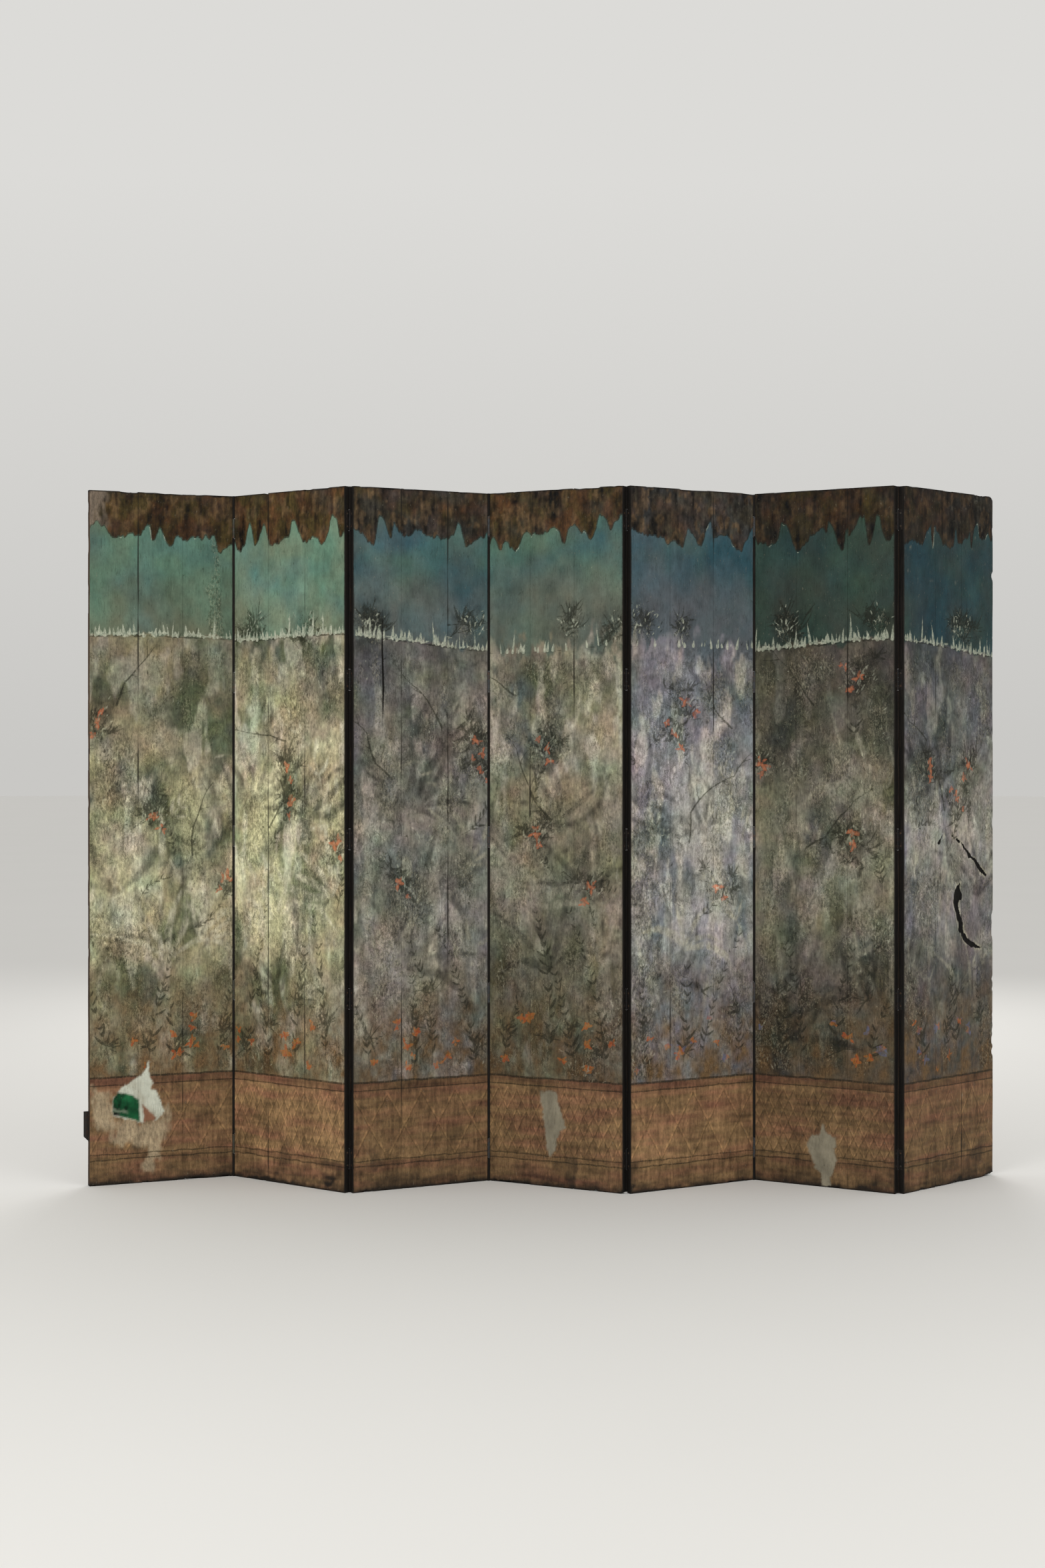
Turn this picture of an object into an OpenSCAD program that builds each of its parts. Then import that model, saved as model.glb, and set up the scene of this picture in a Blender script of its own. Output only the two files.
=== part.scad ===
// Folding screen of seven tall boarded panels, standing in a zigzag.
// Millimetres. +X runs to the right as seen from the painted front, +Y to the back, +Z up.
// The origin lies on the floor, under the middle of the screen's outline.

/* [Panels] */
// Height of every panel
panel_h = 2100; // [1700:10:2300]
// Width of every panel
panel_w = 448; // [420:2:520]
// Thickness of the boards
board_t = 22; // [20:0.5:28]
// Width of the left board in each panel, from the first panel to the last
left_board_w = [149, 142, 157, 140, 141, 136, 154]; // [110:1:165]
// Width of the middle board in each panel, from the first panel to the last
middle_board_w = [139, 148, 154, 147, 157, 164, 131]; // [110:1:165]
// Open line that shows between two neighbouring boards
board_gap = 0.8; // [0.4:0.1:2]

/* [Tongues and grooves] */
// How far the tongue reaches out of a board's edge
tongue_w = 7; // [5:0.5:10]
// Thickness of the tongue
tongue_t = 4.6; // [3:0.2:6]
// Wood in front of the tongue, measured from the painted face
tongue_y = 4; // [3:0.5:5]
// Play between the tongue and its groove, on each side
tongue_play = 0.2; // [0.1:0.05:0.4]

/* [Folds] */
// Turn of the first panel away from the screen's long side
first_turn = 22; // [-30:0.5:60]
// Fold between panels 1 and 2, measured from flat
fold_1 = 58.5; // [0:0.5:180]
// Fold between panels 2 and 3, measured from flat
fold_2 = 62.5; // [0:0.5:180]
// Fold between panels 3 and 4, measured from flat
fold_3 = 53.5; // [0:0.5:180]
// Fold between panels 4 and 5, measured from flat
fold_4 = 56.5; // [0:0.5:180]
// Fold between panels 5 and 6, measured from flat
fold_5 = 58.5; // [0:0.5:180]
// Fold between panels 6 and 7, measured from flat
fold_6 = 71.5; // [0:0.5:180]
// Space between the edges of two panels when the fold is flat
fold_gap = 1; // [0.6:0.1:2]
// Space between two faces when the fold is closed
closed_gap = 0.8; // [0.4:0.1:3]
// Play of the knuckles, and of the bead in line with them, in the hollow of the next panel's edge
bead_play = 0.4; // [0.3:0.05:0.8]

/* [Hinges] */
// Number of hinges up each fold
hinge_count = 5; // [3:1:6]
// Height of one hinge
hinge_h = 60; // [50:1:80]
// Middle of the end hinges, measured from the panel's end
hinge_inset = 100; // [70:5:160]
// Knuckles of one hinge
knuckle_count = 5; // [3:2:7]
// Open line between two knuckles
knuckle_gap = 0.3; // [0.2:0.05:0.6]
// Outer diameter of the knuckles, and of the wooden bead that runs on between the hinges
knuckle_d = 8; // [7.5:0.25:10]
// Diameter of the hinge pin
pin_d = 3.5; // [3:0.25:4.5]
// Running play between the pin and the knuckles, on the radius
pin_play = 0.05; // [0.02:0.01:0.09]
// Diameter of the button at each end of the pin
pin_button_d = 6; // [5:0.25:7]
// Height of the button
pin_button_h = 1.4; // [1:0.1:2.5]
// Space between the pin's button and the end of the bead
pin_end_play = 0.4; // [0.4:0.1:2]
// Thickness of a leaf
leaf_t = 2; // [1.5:0.1:2.5]
// How far a leaf reaches across the edge of the boards
leaf_w = 17; // [15:0.5:19]
// Play around a leaf in its recess
leaf_play = 0.15; // [0.05:0.05:0.4]

/* [Hinge screws] */
// Diameter of the shank
hinge_screw_d = 3; // [2.5:0.1:4]
// Diameter of the countersunk head
hinge_screw_head_d = 5.8; // [5:0.1:7]
// Length, head included
hinge_screw_l = 20; // [14:0.5:30]
// Middle of the screw from the edge of the leaf that lies inside the panel's thickness
hinge_screw_inset = 6.5; // [4.5:0.1:8]
// Middle of the screws from the ends of the leaf
hinge_screw_end = 11; // [8:0.5:16]

/* [Battens] */
// Height of a batten at the back face
batten_h = 66; // [50:1:90]
// Depth of a batten, which lies flush in the boards
batten_t = 10; // [7:0.5:11]
// How much a batten widens on each side towards its hidden face
batten_flare = 3; // [1:0.5:5]
// Distance of the batten from the left edge, from where it slides in
batten_end = 1; // [0.5:0.5:20]
// Wood left between the end of the housing and the right edge
batten_stop = 16; // [12:0.5:40]
// Play around a batten in its housing
batten_play = 0.2; // [0.1:0.05:0.4]

/* [Batten screws] */
// Diameter of the shank
batten_screw_d = 4; // [3:0.25:5]
// Diameter of the countersunk head
batten_screw_head_d = 8; // [7:0.25:10]
// Length, head included
batten_screw_l = 17; // [13:0.5:19]

/* [Screws] */
// Play of a shank in its hole, on the radius
screw_play = 0.1; // [0.05:0.05:0.2]
// Width of the slot in a head
slot_w = 0.9; // [0.6:0.1:1.2]
// Depth of the slot in a head
slot_depth = 0.8; // [0.4:0.1:1.2]

/* [Edge cleat] */
// Height of the cleat on the first panel's free edge
cleat_h = 90; // [70:1:140]
// Middle of the cleat above the floor
cleat_z = 180; // [120:5:400]
// How far its fin stands out of the edge
cleat_out = 14; // [8:0.5:20]
// Thickness of the fin
cleat_fin_t = 3; // [2:0.25:4]
// Height over which the fin's foot is cut back
cleat_foot = 14; // [5:1:20]
// Distance of the fin from the back edge of the cleat's plate
cleat_fin_inset = 1.5; // [0:0.25:3]

/* [Hidden] */
$fn = 48;
PANEL_COUNT = 7;
FOLD_COUNT = PANEL_COUNT - 1;
FOLDS = [fold_1, fold_2, fold_3, fold_4, fold_5, fold_6];
BOARD_NAMES = ["left", "middle", "right"];
LEAF_NAMES = ["left", "right"];

// Past a face that a cut opens
CUT = 1;

// Middle of the pins from the face they stand on
pin_off = closed_gap / 2;
// Half the height that a hinge takes out of the bead
hinge_zone = hinge_h / 2 + pin_button_h + pin_end_play;
// Height of one knuckle with its share of the open lines
knuckle_pitch = hinge_h / knuckle_count;
// Heights of the hinges
HINGE_Z = [
    for (k = [0 : hinge_count - 1])
        hinge_inset + k * (panel_h - 2 * hinge_inset) / (hinge_count - 1)
];
// Heights of the battens, halfway between hinges
BATTEN_Z = [for (k = [0 : hinge_count - 2]) (HINGE_Z[k] + HINGE_Z[k + 1]) / 2];
// Heights of the screws in one leaf, from the middle of the hinge
LEAF_SCREW_Z = [-1, 1] * (hinge_h / 2 - hinge_screw_end);
// Heights of the screws in the cleat, from its middle
CLEAT_SCREW_Z = [-1, 1] * (cleat_h / 2 - hinge_screw_end);
// Middle of the hinge and cleat screws across the edge
leaf_screw_y = leaf_w - hinge_screw_inset;
// Front edge of the cleat's plate, its screws and the back of its fin, across the edge
cleat_y = (board_t - leaf_w) / 2;
cleat_screw_y = cleat_y + hinge_screw_inset;
cleat_fin_y = cleat_y + leaf_w - cleat_fin_inset;

// Folds 1, 3 and 5 close the painted faces, so their pins stand in front; the others stand behind
function is_front(fold) = fold % 2 == 0;
function pin_y(fold) = is_front(fold) ? -pin_off : board_t + pin_off;
function turned(angle, p) = [p.x * cos(angle) - p.y * sin(angle), p.x * sin(angle) + p.y * cos(angle)];

// Turn of a panel about +Z, worked out along the chain of folds
function turn(i) = i == 0 ? first_turn : turn(i - 1) + (is_front(i - 1) ? -1 : 1) * FOLDS[i - 1];
function chain(i) =
    i == 0
        ? [0, 0]
        : chain(i - 1) + turned(turn(i - 1), [panel_w + fold_gap / 2, pin_y(i - 1)])
            - turned(turn(i), [-fold_gap / 2, pin_y(i - 1)]);

// Middle of the outline, which is where the origin goes
OUTLINE = concat(
    [
        for (i = [0 : PANEL_COUNT - 1]) for (x = [0, panel_w]) for (y = [0, board_t])
            chain(i) + turned(turn(i), [x, y])
    ],
    [for (y = [cleat_fin_y - cleat_fin_t, cleat_fin_y]) turned(first_turn, [-cleat_out, y])]
);
XS = [for (p = OUTLINE) p.x];
YS = [for (p = OUTLINE) p.y];
MIDDLE = [min(XS) + max(XS), min(YS) + max(YS)] / 2;
PLACES = [for (i = [0 : PANEL_COUNT - 1]) chain(i) - MIDDLE];
TURNS = [for (i = [0 : PANEL_COUNT - 1]) turn(i)];

// Edges of the boards across a panel
function board_edges(i) = [0, left_board_w[i], left_board_w[i] + middle_board_w[i], panel_w];

// Puts a shape from the panel's own frame, left front corner at the origin, into its place
module in_panel(i) {
    translate([PLACES[i].x, PLACES[i].y, 0]) rotate(TURNS[i]) children();
}

// Puts a shape that is drawn for a right edge, with the wood at -X and the face with the knuckles
// at Y = 0, on that edge of the left panel (side 0) or the right panel (side 1) of a fold, in the
// frame of that panel
module at_edge(fold, side) {
    translate([side == 0 ? panel_w : 0, is_front(fold) ? 0 : board_t, 0])
        mirror([0, is_front(fold) ? 0 : 1, 0])
            mirror([side, 0, 0]) children();
}

// The same, in the place where that panel stands
module at_fold(fold, side) {
    in_panel(fold + side) at_edge(fold, side) children();
}

// Moves a shape to the pin's axis, at a height, in the frame of a panel's edge
module on_pin(z) {
    translate([fold_gap / 2, -pin_off, z]) children();
}

// Slotted countersunk wood screw, head up at Z = 0
module screw(d, head_d, length) {
    head_h = (head_d - d) / 2;
    tip_h = d;
    difference() {
        rotate_extrude()
            polygon([
                [0, 0],
                [head_d / 2, 0],
                [d / 2, -head_h],
                [d / 2, tip_h - length],
                [0, -length]
            ]);
        translate([-head_d, -slot_w / 2, -slot_depth]) cube([2 * head_d, slot_w, slot_depth + CUT]);
    }
}

// Hole for such a screw, open at Z = 0
module screw_hole(d, head_d, length) {
    head_h = (head_d - d) / 2;
    r = d / 2 + screw_play;
    rotate_extrude()
        polygon([
            [0, CUT],
            [r + head_h + CUT, CUT],
            [r, -head_h],
            [r, -length - screw_play],
            [0, -length - screw_play]
        ]);
}

// Turns a shape that is drawn along -Z so that it runs into the wood at -X
module into_edge() {
    rotate([0, 90, 0]) children();
}

module hinge_screws(z_places, y) {
    for (z = z_places) translate([0, y, z]) into_edge()
        screw(hinge_screw_d, hinge_screw_head_d, hinge_screw_l);
}

module hinge_screw_holes(z_places, y) {
    for (z = z_places) translate([0, y, z]) into_edge()
        screw_hole(hinge_screw_d, hinge_screw_head_d, hinge_screw_l);
}

// Bead along the right edge of a panel, in line with the knuckles of the fold
module bead(play) {
    on_pin(play > 0 ? -CUT : 0)
        cylinder(d = knuckle_d + 2 * play, h = panel_h + (play > 0 ? 2 * CUT : 0));
}

// Recesses and screw holes for the leaves in one edge of the boards, and room for the knuckles
module leaf_recesses() {
    for (z = HINGE_Z) translate([0, 0, z]) {
        translate([-leaf_t - leaf_play, -CUT, -hinge_h / 2 - leaf_play])
            cube([leaf_t + leaf_play + CUT, leaf_w + leaf_play + CUT, hinge_h + 2 * leaf_play]);
        hinge_screw_holes(LEAF_SCREW_Z, leaf_screw_y);
        on_pin(-hinge_zone) cylinder(d = knuckle_d + 2 * bead_play, h = 2 * hinge_zone);
    }
}

// Knuckle k of a hinge whose middle is at Z = 0, grown by play on the radius and at both ends
module knuckle(k, play, end_play) {
    on_pin(k * knuckle_pitch - hinge_h / 2 + knuckle_gap / 2 - end_play)
        cylinder(d = knuckle_d + 2 * play, h = knuckle_pitch - knuckle_gap + 2 * end_play);
}

// One leaf with every second knuckle, from knuckle first on; the others belong to the other leaf
module leaf(first) {
    difference() {
        union() {
            translate([-leaf_t, 0, -hinge_h / 2]) cube([leaf_t, leaf_w, hinge_h]);
            for (k = [first : 2 : knuckle_count - 1]) knuckle(k, 0, 0);
        }
        for (k = [1 - first : 2 : knuckle_count - 1]) knuckle(k, bead_play, knuckle_gap);
        on_pin(-hinge_h / 2 - CUT) cylinder(d = pin_d + 2 * pin_play, h = hinge_h + 2 * CUT);
        hinge_screw_holes(LEAF_SCREW_Z, leaf_screw_y);
    }
}

module leaves(fold, side) {
    color("#4a4036") at_fold(fold, side) for (z = HINGE_Z) translate([0, 0, z]) leaf(side);
}

// Pin with a domed button at each end, which the panel on the left carries
module pin() {
    half = hinge_h / 2;
    rotate_extrude()
        polygon([
            [0, -half - pin_button_h],
            [pin_button_d / 4, -half - pin_button_h],
            [pin_button_d / 2, -half - pin_button_h / 2],
            [pin_button_d / 2, -half],
            [pin_d / 2, -half],
            [pin_d / 2, half],
            [pin_button_d / 2, half],
            [pin_button_d / 2, half + pin_button_h / 2],
            [pin_button_d / 4, half + pin_button_h],
            [0, half + pin_button_h]
        ]);
}

module pins(fold) {
    color("#3a3129") at_fold(fold, 0) for (z = HINGE_Z) on_pin(z) pin();
}

// Dovetailed section of a batten, X up the panel and Y = 0 at the back face. It is grown by play,
// and runs on past the face by over.
module batten_section(play, over) {
    slope = batten_flare / batten_t;
    depth = batten_t + play;
    outer = batten_h / 2 + play - slope * over;
    inner = batten_h / 2 + play + slope * depth;
    polygon([[-outer, over], [outer, over], [inner, -depth], [-inner, -depth]]);
}

// Battens or their housings along a panel, from x_from to x_to
module batten_bars(x_from, x_to, play, over) {
    for (z = BATTEN_Z) translate([x_from, board_t, z]) rotate([0, 90, 0])
        linear_extrude(x_to - x_from) batten_section(play, over);
}

function batten_screw_x(i) = (board_edges(i)[1] + board_edges(i)[2]) / 2;

module batten_screw_places(i) {
    for (z = BATTEN_Z) translate([batten_screw_x(i), board_t, z]) rotate([-90, 0, 0]) children();
}

module battens(i) {
    color("#5b4636") in_panel(i) difference() {
        batten_bars(batten_end, panel_w - batten_stop - batten_play, 0, 0);
        batten_screw_places(i) screw_hole(batten_screw_d, batten_screw_head_d, batten_screw_l);
        if (i > 0) at_edge(i - 1, 1) bead(bead_play);
    }
}

// One board of a panel, b = 0, 1, 2 from the left
module board(i, b) {
    edges = board_edges(i);
    last = len(edges) - 2;
    x_from = edges[b] + (b == 0 ? 0 : board_gap / 2);
    x_to = edges[b + 1] - (b == last ? 0 : board_gap / 2);
    color(b == 1 ? "#8d9078" : "#878a74") in_panel(i) difference() {
        union() {
            translate([x_from, 0, 0]) cube([x_to - x_from, board_t, panel_h]);
            if (b < last) translate([x_to - CUT, tongue_y, 0]) cube([tongue_w + CUT, tongue_t, panel_h]);
            if (b == last && i < FOLD_COUNT) at_edge(i, 0) bead(0);
        }
        if (b > 0) translate([x_from - CUT, tongue_y - tongue_play, -CUT])
            cube([
                tongue_w - board_gap + 2 * tongue_play + CUT,
                tongue_t + 2 * tongue_play,
                panel_h + 2 * CUT
            ]);
        batten_bars(-CUT, panel_w - batten_stop, batten_play, CUT);
        if (b == 1) batten_screw_places(i)
            screw_hole(batten_screw_d, batten_screw_head_d, batten_screw_l);
        if (b == 0 && i > 0) at_edge(i - 1, 1) {
            bead(bead_play);
            leaf_recesses();
        }
        if (b == last && i < FOLD_COUNT) at_edge(i, 0) leaf_recesses();
        if (b == 0 && i == 0) cleat_recess();
    }
}

module cleat_recess() {
    translate([0, 0, cleat_z]) mirror([1, 0, 0]) {
        translate([-leaf_t - leaf_play, cleat_y - leaf_play, -cleat_h / 2 - leaf_play])
            cube([leaf_t + leaf_play + CUT, leaf_w + 2 * leaf_play, cleat_h + 2 * leaf_play]);
        hinge_screw_holes(CLEAT_SCREW_Z, cleat_screw_y);
    }
}

// Iron plate let into the first panel's free edge, with a fin that stands out of it
module edge_cleat() {
    color("#2b2724") in_panel(0) translate([0, 0, cleat_z]) mirror([1, 0, 0]) difference() {
        union() {
            translate([-leaf_t, cleat_y, -cleat_h / 2]) cube([leaf_t, leaf_w, cleat_h]);
            translate([0, cleat_fin_y, 0]) rotate([90, 0, 0])
                linear_extrude(cleat_fin_t)
                    polygon([
                        [-leaf_t, -cleat_h / 2],
                        [0, -cleat_h / 2],
                        [cleat_out, cleat_foot - cleat_h / 2],
                        [cleat_out, cleat_h / 2],
                        [-leaf_t, cleat_h / 2]
                    ]);
        }
        hinge_screw_holes(CLEAT_SCREW_Z, cleat_screw_y);
    }
}

// Every screw of a panel: batten screws, the hinge screws of both edges and those of the cleat
module screws(i) {
    color("#6b5a3c") {
        in_panel(i) batten_screw_places(i)
            screw(batten_screw_d, batten_screw_head_d, batten_screw_l);
        if (i > 0) at_fold(i - 1, 1) for (z = HINGE_Z) translate([0, 0, z])
            hinge_screws(LEAF_SCREW_Z, leaf_screw_y);
        if (i < FOLD_COUNT) at_fold(i, 0) for (z = HINGE_Z) translate([0, 0, z])
            hinge_screws(LEAF_SCREW_Z, leaf_screw_y);
        if (i == 0) in_panel(i) translate([0, 0, cleat_z]) mirror([1, 0, 0])
            hinge_screws(CLEAT_SCREW_Z, cleat_screw_y);
    }
}

for (i = [0 : PANEL_COUNT - 1]) {
    for (b = [0 : len(BOARD_NAMES) - 1])
        board(i, b);
    battens(i);
    screws(i);
}
for (fold = [0 : FOLD_COUNT - 1]) {
    for (side = [0 : len(LEAF_NAMES) - 1])
        leaves(fold, side);
    pins(fold);
}
edge_cleat();
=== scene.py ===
"""Looks of the painted folding screen: camera, floor, light, worn boards with their painting, and iron.

Sizes are in millimetres until they reach a mesh, which is in metres. A panel's own frame has x along
its width from the left edge, y from the painted face to the back, and z up, as in the CAD part.
"""

import math

import bpy
import numpy as np
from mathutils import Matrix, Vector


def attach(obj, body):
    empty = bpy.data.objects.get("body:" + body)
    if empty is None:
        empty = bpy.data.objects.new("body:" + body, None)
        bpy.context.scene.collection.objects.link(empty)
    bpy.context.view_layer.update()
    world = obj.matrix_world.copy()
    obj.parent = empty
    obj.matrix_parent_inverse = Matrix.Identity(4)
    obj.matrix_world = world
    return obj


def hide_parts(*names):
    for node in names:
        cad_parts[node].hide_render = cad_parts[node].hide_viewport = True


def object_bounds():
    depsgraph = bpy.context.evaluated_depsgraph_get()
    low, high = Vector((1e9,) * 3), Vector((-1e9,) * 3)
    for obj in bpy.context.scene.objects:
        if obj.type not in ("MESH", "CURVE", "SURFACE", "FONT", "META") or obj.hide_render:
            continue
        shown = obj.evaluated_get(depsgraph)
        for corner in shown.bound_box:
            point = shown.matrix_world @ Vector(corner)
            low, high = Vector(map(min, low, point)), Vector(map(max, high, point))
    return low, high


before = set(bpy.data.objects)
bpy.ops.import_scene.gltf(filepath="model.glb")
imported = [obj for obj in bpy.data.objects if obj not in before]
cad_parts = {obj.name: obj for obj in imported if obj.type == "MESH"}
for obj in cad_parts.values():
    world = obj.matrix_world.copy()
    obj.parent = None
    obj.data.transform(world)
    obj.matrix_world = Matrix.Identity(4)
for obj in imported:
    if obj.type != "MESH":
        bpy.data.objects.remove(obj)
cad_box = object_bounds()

MM = 0.001

# Sizes of the boards, as in the CAD part
PANELS = 7
PANEL_H = 2100.0
PANEL_W = 448.0
BOARD_T = 22.0
LEFT_BOARD_W = (149, 142, 157, 140, 141, 136, 154)
MIDDLE_BOARD_W = (139, 148, 154, 147, 157, 164, 131)
BOARD_GAP = 0.8
BOARD_NAMES = ("left", "middle", "right")
TONGUE_W = 7.0
TONGUE_T = 4.6
TONGUE_Y = 4.0
TONGUE_PLAY = 0.2

# Folds, in degrees from flat, and the turn of the first panel
FIRST_TURN = 22.0
FOLDS = (58.5, 62.5, 53.5, 56.5, 58.5, 71.5)
FOLD_GAP = 1.0
PIN_OFF = 0.4

# Room that the hinges, the battens and the cleat take out of the boards
BEAD_R = 4.0
HOLLOW_R = 4.4
HINGE_Z = (100.0, 575.0, 1050.0, 1525.0, 2000.0)
HOLLOW_HALF = 31.8
RECESS_HALF = 30.15
RECESS_D = 2.15
RECESS_W = 17.15
BATTEN_Z = (337.5, 812.5, 1287.5, 1762.5)
HOUSING_HALF = 36.26
HOUSING_FLARE = 3.06
HOUSING_D = 10.2
HOUSING_STOP = 16.0
CLEAT_Z = 180.0
CLEAT_HALF = 45.15
CLEAT_FROM = 2.35
CLEAT_TO = 19.65
FIN_OUT = 14.0
FIN_Y = (15.0, 18.0)

# Mesh of a board
FRONT_STEP = 2.6
BACK_STEP = 14.0
RING_STEP = 4.2
ARC_POINTS = 15
ARRIS = 1.0
EDGE_CLEAR = 4.6
EDGE_MIDDLE = 15.0
BEAD_ROOM = 5.0
JOINT_ARRIS = 0.4
JOINT_FILL = 0.36
JOINT_FILL_Y = (2.5, 2.7)
PAIR = 0.02
SHARP = 32.0

# Camera, fitted to the corners of the panels in the photograph
CAMERA_PLACE = (-0.1784, -6.6933, 1.3113)
LENS = 50.65
CAMERA_SHIFT = (0.0234, -0.0207)

# Heights of the bands of the painting, and how soft the hill line has become on each panel
BROWN_FOOT = 1975.0
HILL = 1655.0
HILL_DROP = 6.0
HILL_SOFT = (7.0, 7.0, 12.0, 60.0, 76.0, 14.0, 9.0)
DADO_TOP = 325.0

# How light the field is at some shares of its height: painted shade, darker towards its foot and its top
# than at mid height
FIELD_SHADE = ((0, 0.12, 0.3, 0.5, 0.75, 0.9, 1.0), (0.50, 0.66, 0.92, 1.04, 0.96, 0.74, 0.62))

# Grid of the painting, and how far its distances reach
CELL = 2.5
FAR = 12.0
PICTURE_SEED = 40


def linear(code):
    """Linear colour of a hex code such as 8a7b60."""
    parts = np.array([int(code[k : k + 2], 16) for k in (0, 2, 4)]) / 255
    return np.where(parts <= 0.04045, parts / 12.92, ((parts + 0.055) / 1.055) ** 2.4)


# Paint of the screen
BARK = linear("4c3f20")
BARK_RED = linear("553a22")
SKY_GREEN = linear("658772")
SKY_BLUE = linear("436e7a")
STONE_WARM = linear("978f72")
STONE_COOL = linear("878588")
MOSS = linear("5d6048")
SLATE = linear("585e62")
PALE_STONE = linear("b3ae98")
# Cream of the washes at mid height, which are partly a painted sheen
CREAM_WASH_AND_SHEEN = linear("bfba92")
TAN = linear("876b4a")
TAN_RED = linear("865d47")
SOOT = linear("1d1813")
GESSO = linear("bec0b0")
PLASTER = linear("928a76")
RUBBED = linear("9c8c71")
EMERALD = linear("17502f")
SAGE = linear("7f8a76")
INK = linear("2a2a20")

# How light and how cool the paint of each panel is, and how light its sky. Besides each panel's own tone,
# these hold painted shade, and a painted tint of the light, warm on some panels and cool on others, as
# each is turned
LIGHTNESS = (1.24, 1.54, 0.70, 0.58, 1.08, 0.62, 0.77)
COOLNESS = (0.0, 0.0, 0.6, 0.25, 1.0, 0.3, 0.8)
# Painted shade, panel by panel, that darkens or lightens the field's top and foot, the brown band and the
# dado
HILL_SHADE = (0.70, 0.95, 0.92, 1.84, 1.1, 0.56, 0.71)
FOOT_SHADE = (0.93, 0.87, 1.52, 1.24, 0.97, 0.65, 0.65)
BROWN_SHADE = (0.57, 0.72, 0.80, 0.82, 0.85, 0.73, 0.60)
DADO_SHADE = (0.72, 0.96, 0.65, 0.68, 0.86, 0.57, 0.60)
HAZE = (0.25, 0.45, 0.55, 0.6, 0.85, 0.22, 0.1)
SKY_LIGHTNESS = (0.68, 0.92, 0.52, 0.54, 0.46, 0.22, 0.25)


# Camera, floor and light


def link(obj):
    bpy.context.scene.collection.objects.link(obj)
    return obj


def make_camera():
    data = bpy.data.cameras.new("camera")
    data.lens = LENS
    data.shift_x, data.shift_y = CAMERA_SHIFT
    camera = link(bpy.data.objects.new("camera", data))
    camera.location = CAMERA_PLACE
    camera.rotation_euler = (math.radians(90), 0, 0)
    bpy.context.scene.camera = camera


class Shader:
    """A material, or the world, made by short calls that mostly give back an output socket."""

    def __init__(self, name, kind="materials"):
        self.owner = getattr(bpy.data, kind).new(name)
        self.owner.use_nodes = True
        self.tree = self.owner.node_tree

    def put(self, socket, value):
        if isinstance(value, bpy.types.NodeSocket):
            self.tree.links.new(value, socket)
        elif isinstance(value, np.ndarray):
            socket.default_value = (*value, 1.0)
        elif value is not None:
            socket.default_value = value

    def node(self, kind, *values, **named):
        """A new node. Values fill its inputs in turn. A name in capitals is an input, else a setting."""
        made = self.tree.nodes.new("ShaderNode" + kind)
        for key in filter(str.islower, named):
            setattr(made, key, named[key])
        for socket, value in zip(made.inputs, values):
            self.put(socket, value)
        for key in filter(str.istitle, named):
            self.put(made.inputs[key], named[key])
        return made

    def attribute(self, name, output="Fac"):
        return self.node("Attribute", attribute_name=name).outputs[output]

    def math(self, operation, a, b=None, c=None):
        return self.node("Math", a, b, c, operation=operation).outputs[0]

    def add(self, *terms):
        total = terms[0]
        for term in terms[1:]:
            total = self.math("ADD", total, term)
        return total

    def times(self, a, b):
        return self.math("MULTIPLY", a, b)

    def mix(self, share, a, b, blend="MIX"):
        made = self.node("Mix", data_type="RGBA", blend_type=blend)
        for k, value in ((0, share), (6, a), (7, b)):
            self.put(made.inputs[k], value)
        return made.outputs[2]

    def tint(self, colour, red, green, blue):
        return self.mix(1.0, colour, (red, green, blue, 1), "MULTIPLY")

    def tones(self, value, low, high, dark, light):
        """Runs between two colours, given by their hex codes, as value rises from low to high."""
        return self.mix(self.step(value, low, high), linear(dark), linear(light))

    def stretch(self, vector, scale, turn=0.0):
        return self.node("Mapping", vector, Scale=scale, Rotation=(0, 0, turn)).outputs[0]

    def noise(self, vector, scale, detail=3.0, rough=0.55, distortion=0.0):
        named = {"Scale": scale, "Detail": detail, "Roughness": rough, "Distortion": distortion}
        return self.node("TexNoise", vector, **named).outputs["Fac"]

    def step(self, value, low, high, to=(0.0, 1.0)):
        """From to[0] below low to to[1] above high. With low above high it runs the other way."""
        if low > high:
            low, high, to = high, low, (to[1], to[0])
        return self.node("MapRange", value, low, high, *to, interpolation_type="SMOOTHSTEP").outputs[0]

    def finish(self, colour, roughness, height=None, depth=0.0, metallic=0.0, specular=0.5):
        surface = self.tree.nodes["Principled BSDF"].inputs
        if height is not None:
            bump = self.node("Bump", Strength=1.0, Distance=depth, Height=height)
            self.put(surface["Normal"], bump.outputs[0])
        for name, value in (("Base Color", colour), ("Roughness", roughness), ("Metallic", metallic)):
            self.put(surface[name], value)
        self.put(surface["Specular IOR Level"], specular)
        return self.owner


FLOOR_COLOUR = linear("dbd9d4")
BACKDROP_LOW = linear("c9c8c5")
BACKDROP_HIGH = linear("dcdbd8")
FLOOR_R = 60.0


def make_floor():
    """Plain pale floor, a wide disc whose far rim meets the backdrop's colour."""
    s = Shader("studio_floor")
    haze = s.noise(s.node("TexCoord").outputs["Object"], 0.8, 2.0)
    colour = s.mix(haze, FLOOR_COLOUR, FLOOR_COLOUR * 0.97)
    material = s.finish(colour, 0.8, specular=0.2)
    mesh = bpy.data.meshes.new("studio_floor")
    around = np.linspace(0, 2 * np.pi, 96, endpoint=False)
    rim = [(FLOOR_R * math.cos(a), FLOOR_R * math.sin(a), 0) for a in around]
    mesh.from_pydata(rim, [], [range(len(rim))])
    mesh.materials.append(material)
    link(bpy.data.objects.new("studio_floor", mesh))


WORLD_LIGHT = 0.80
BACKDROP_RISE = 0.25
LAMP_SIZE = 3.0
LAMPS = (
    ("key_light", (-3.2, -5.0, 3.6), 120),
    ("fill_light", (3.8, -4.4, 2.6), 75),
    ("back_light", (0.5, 5.0, 3.4), 100),
)


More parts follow.
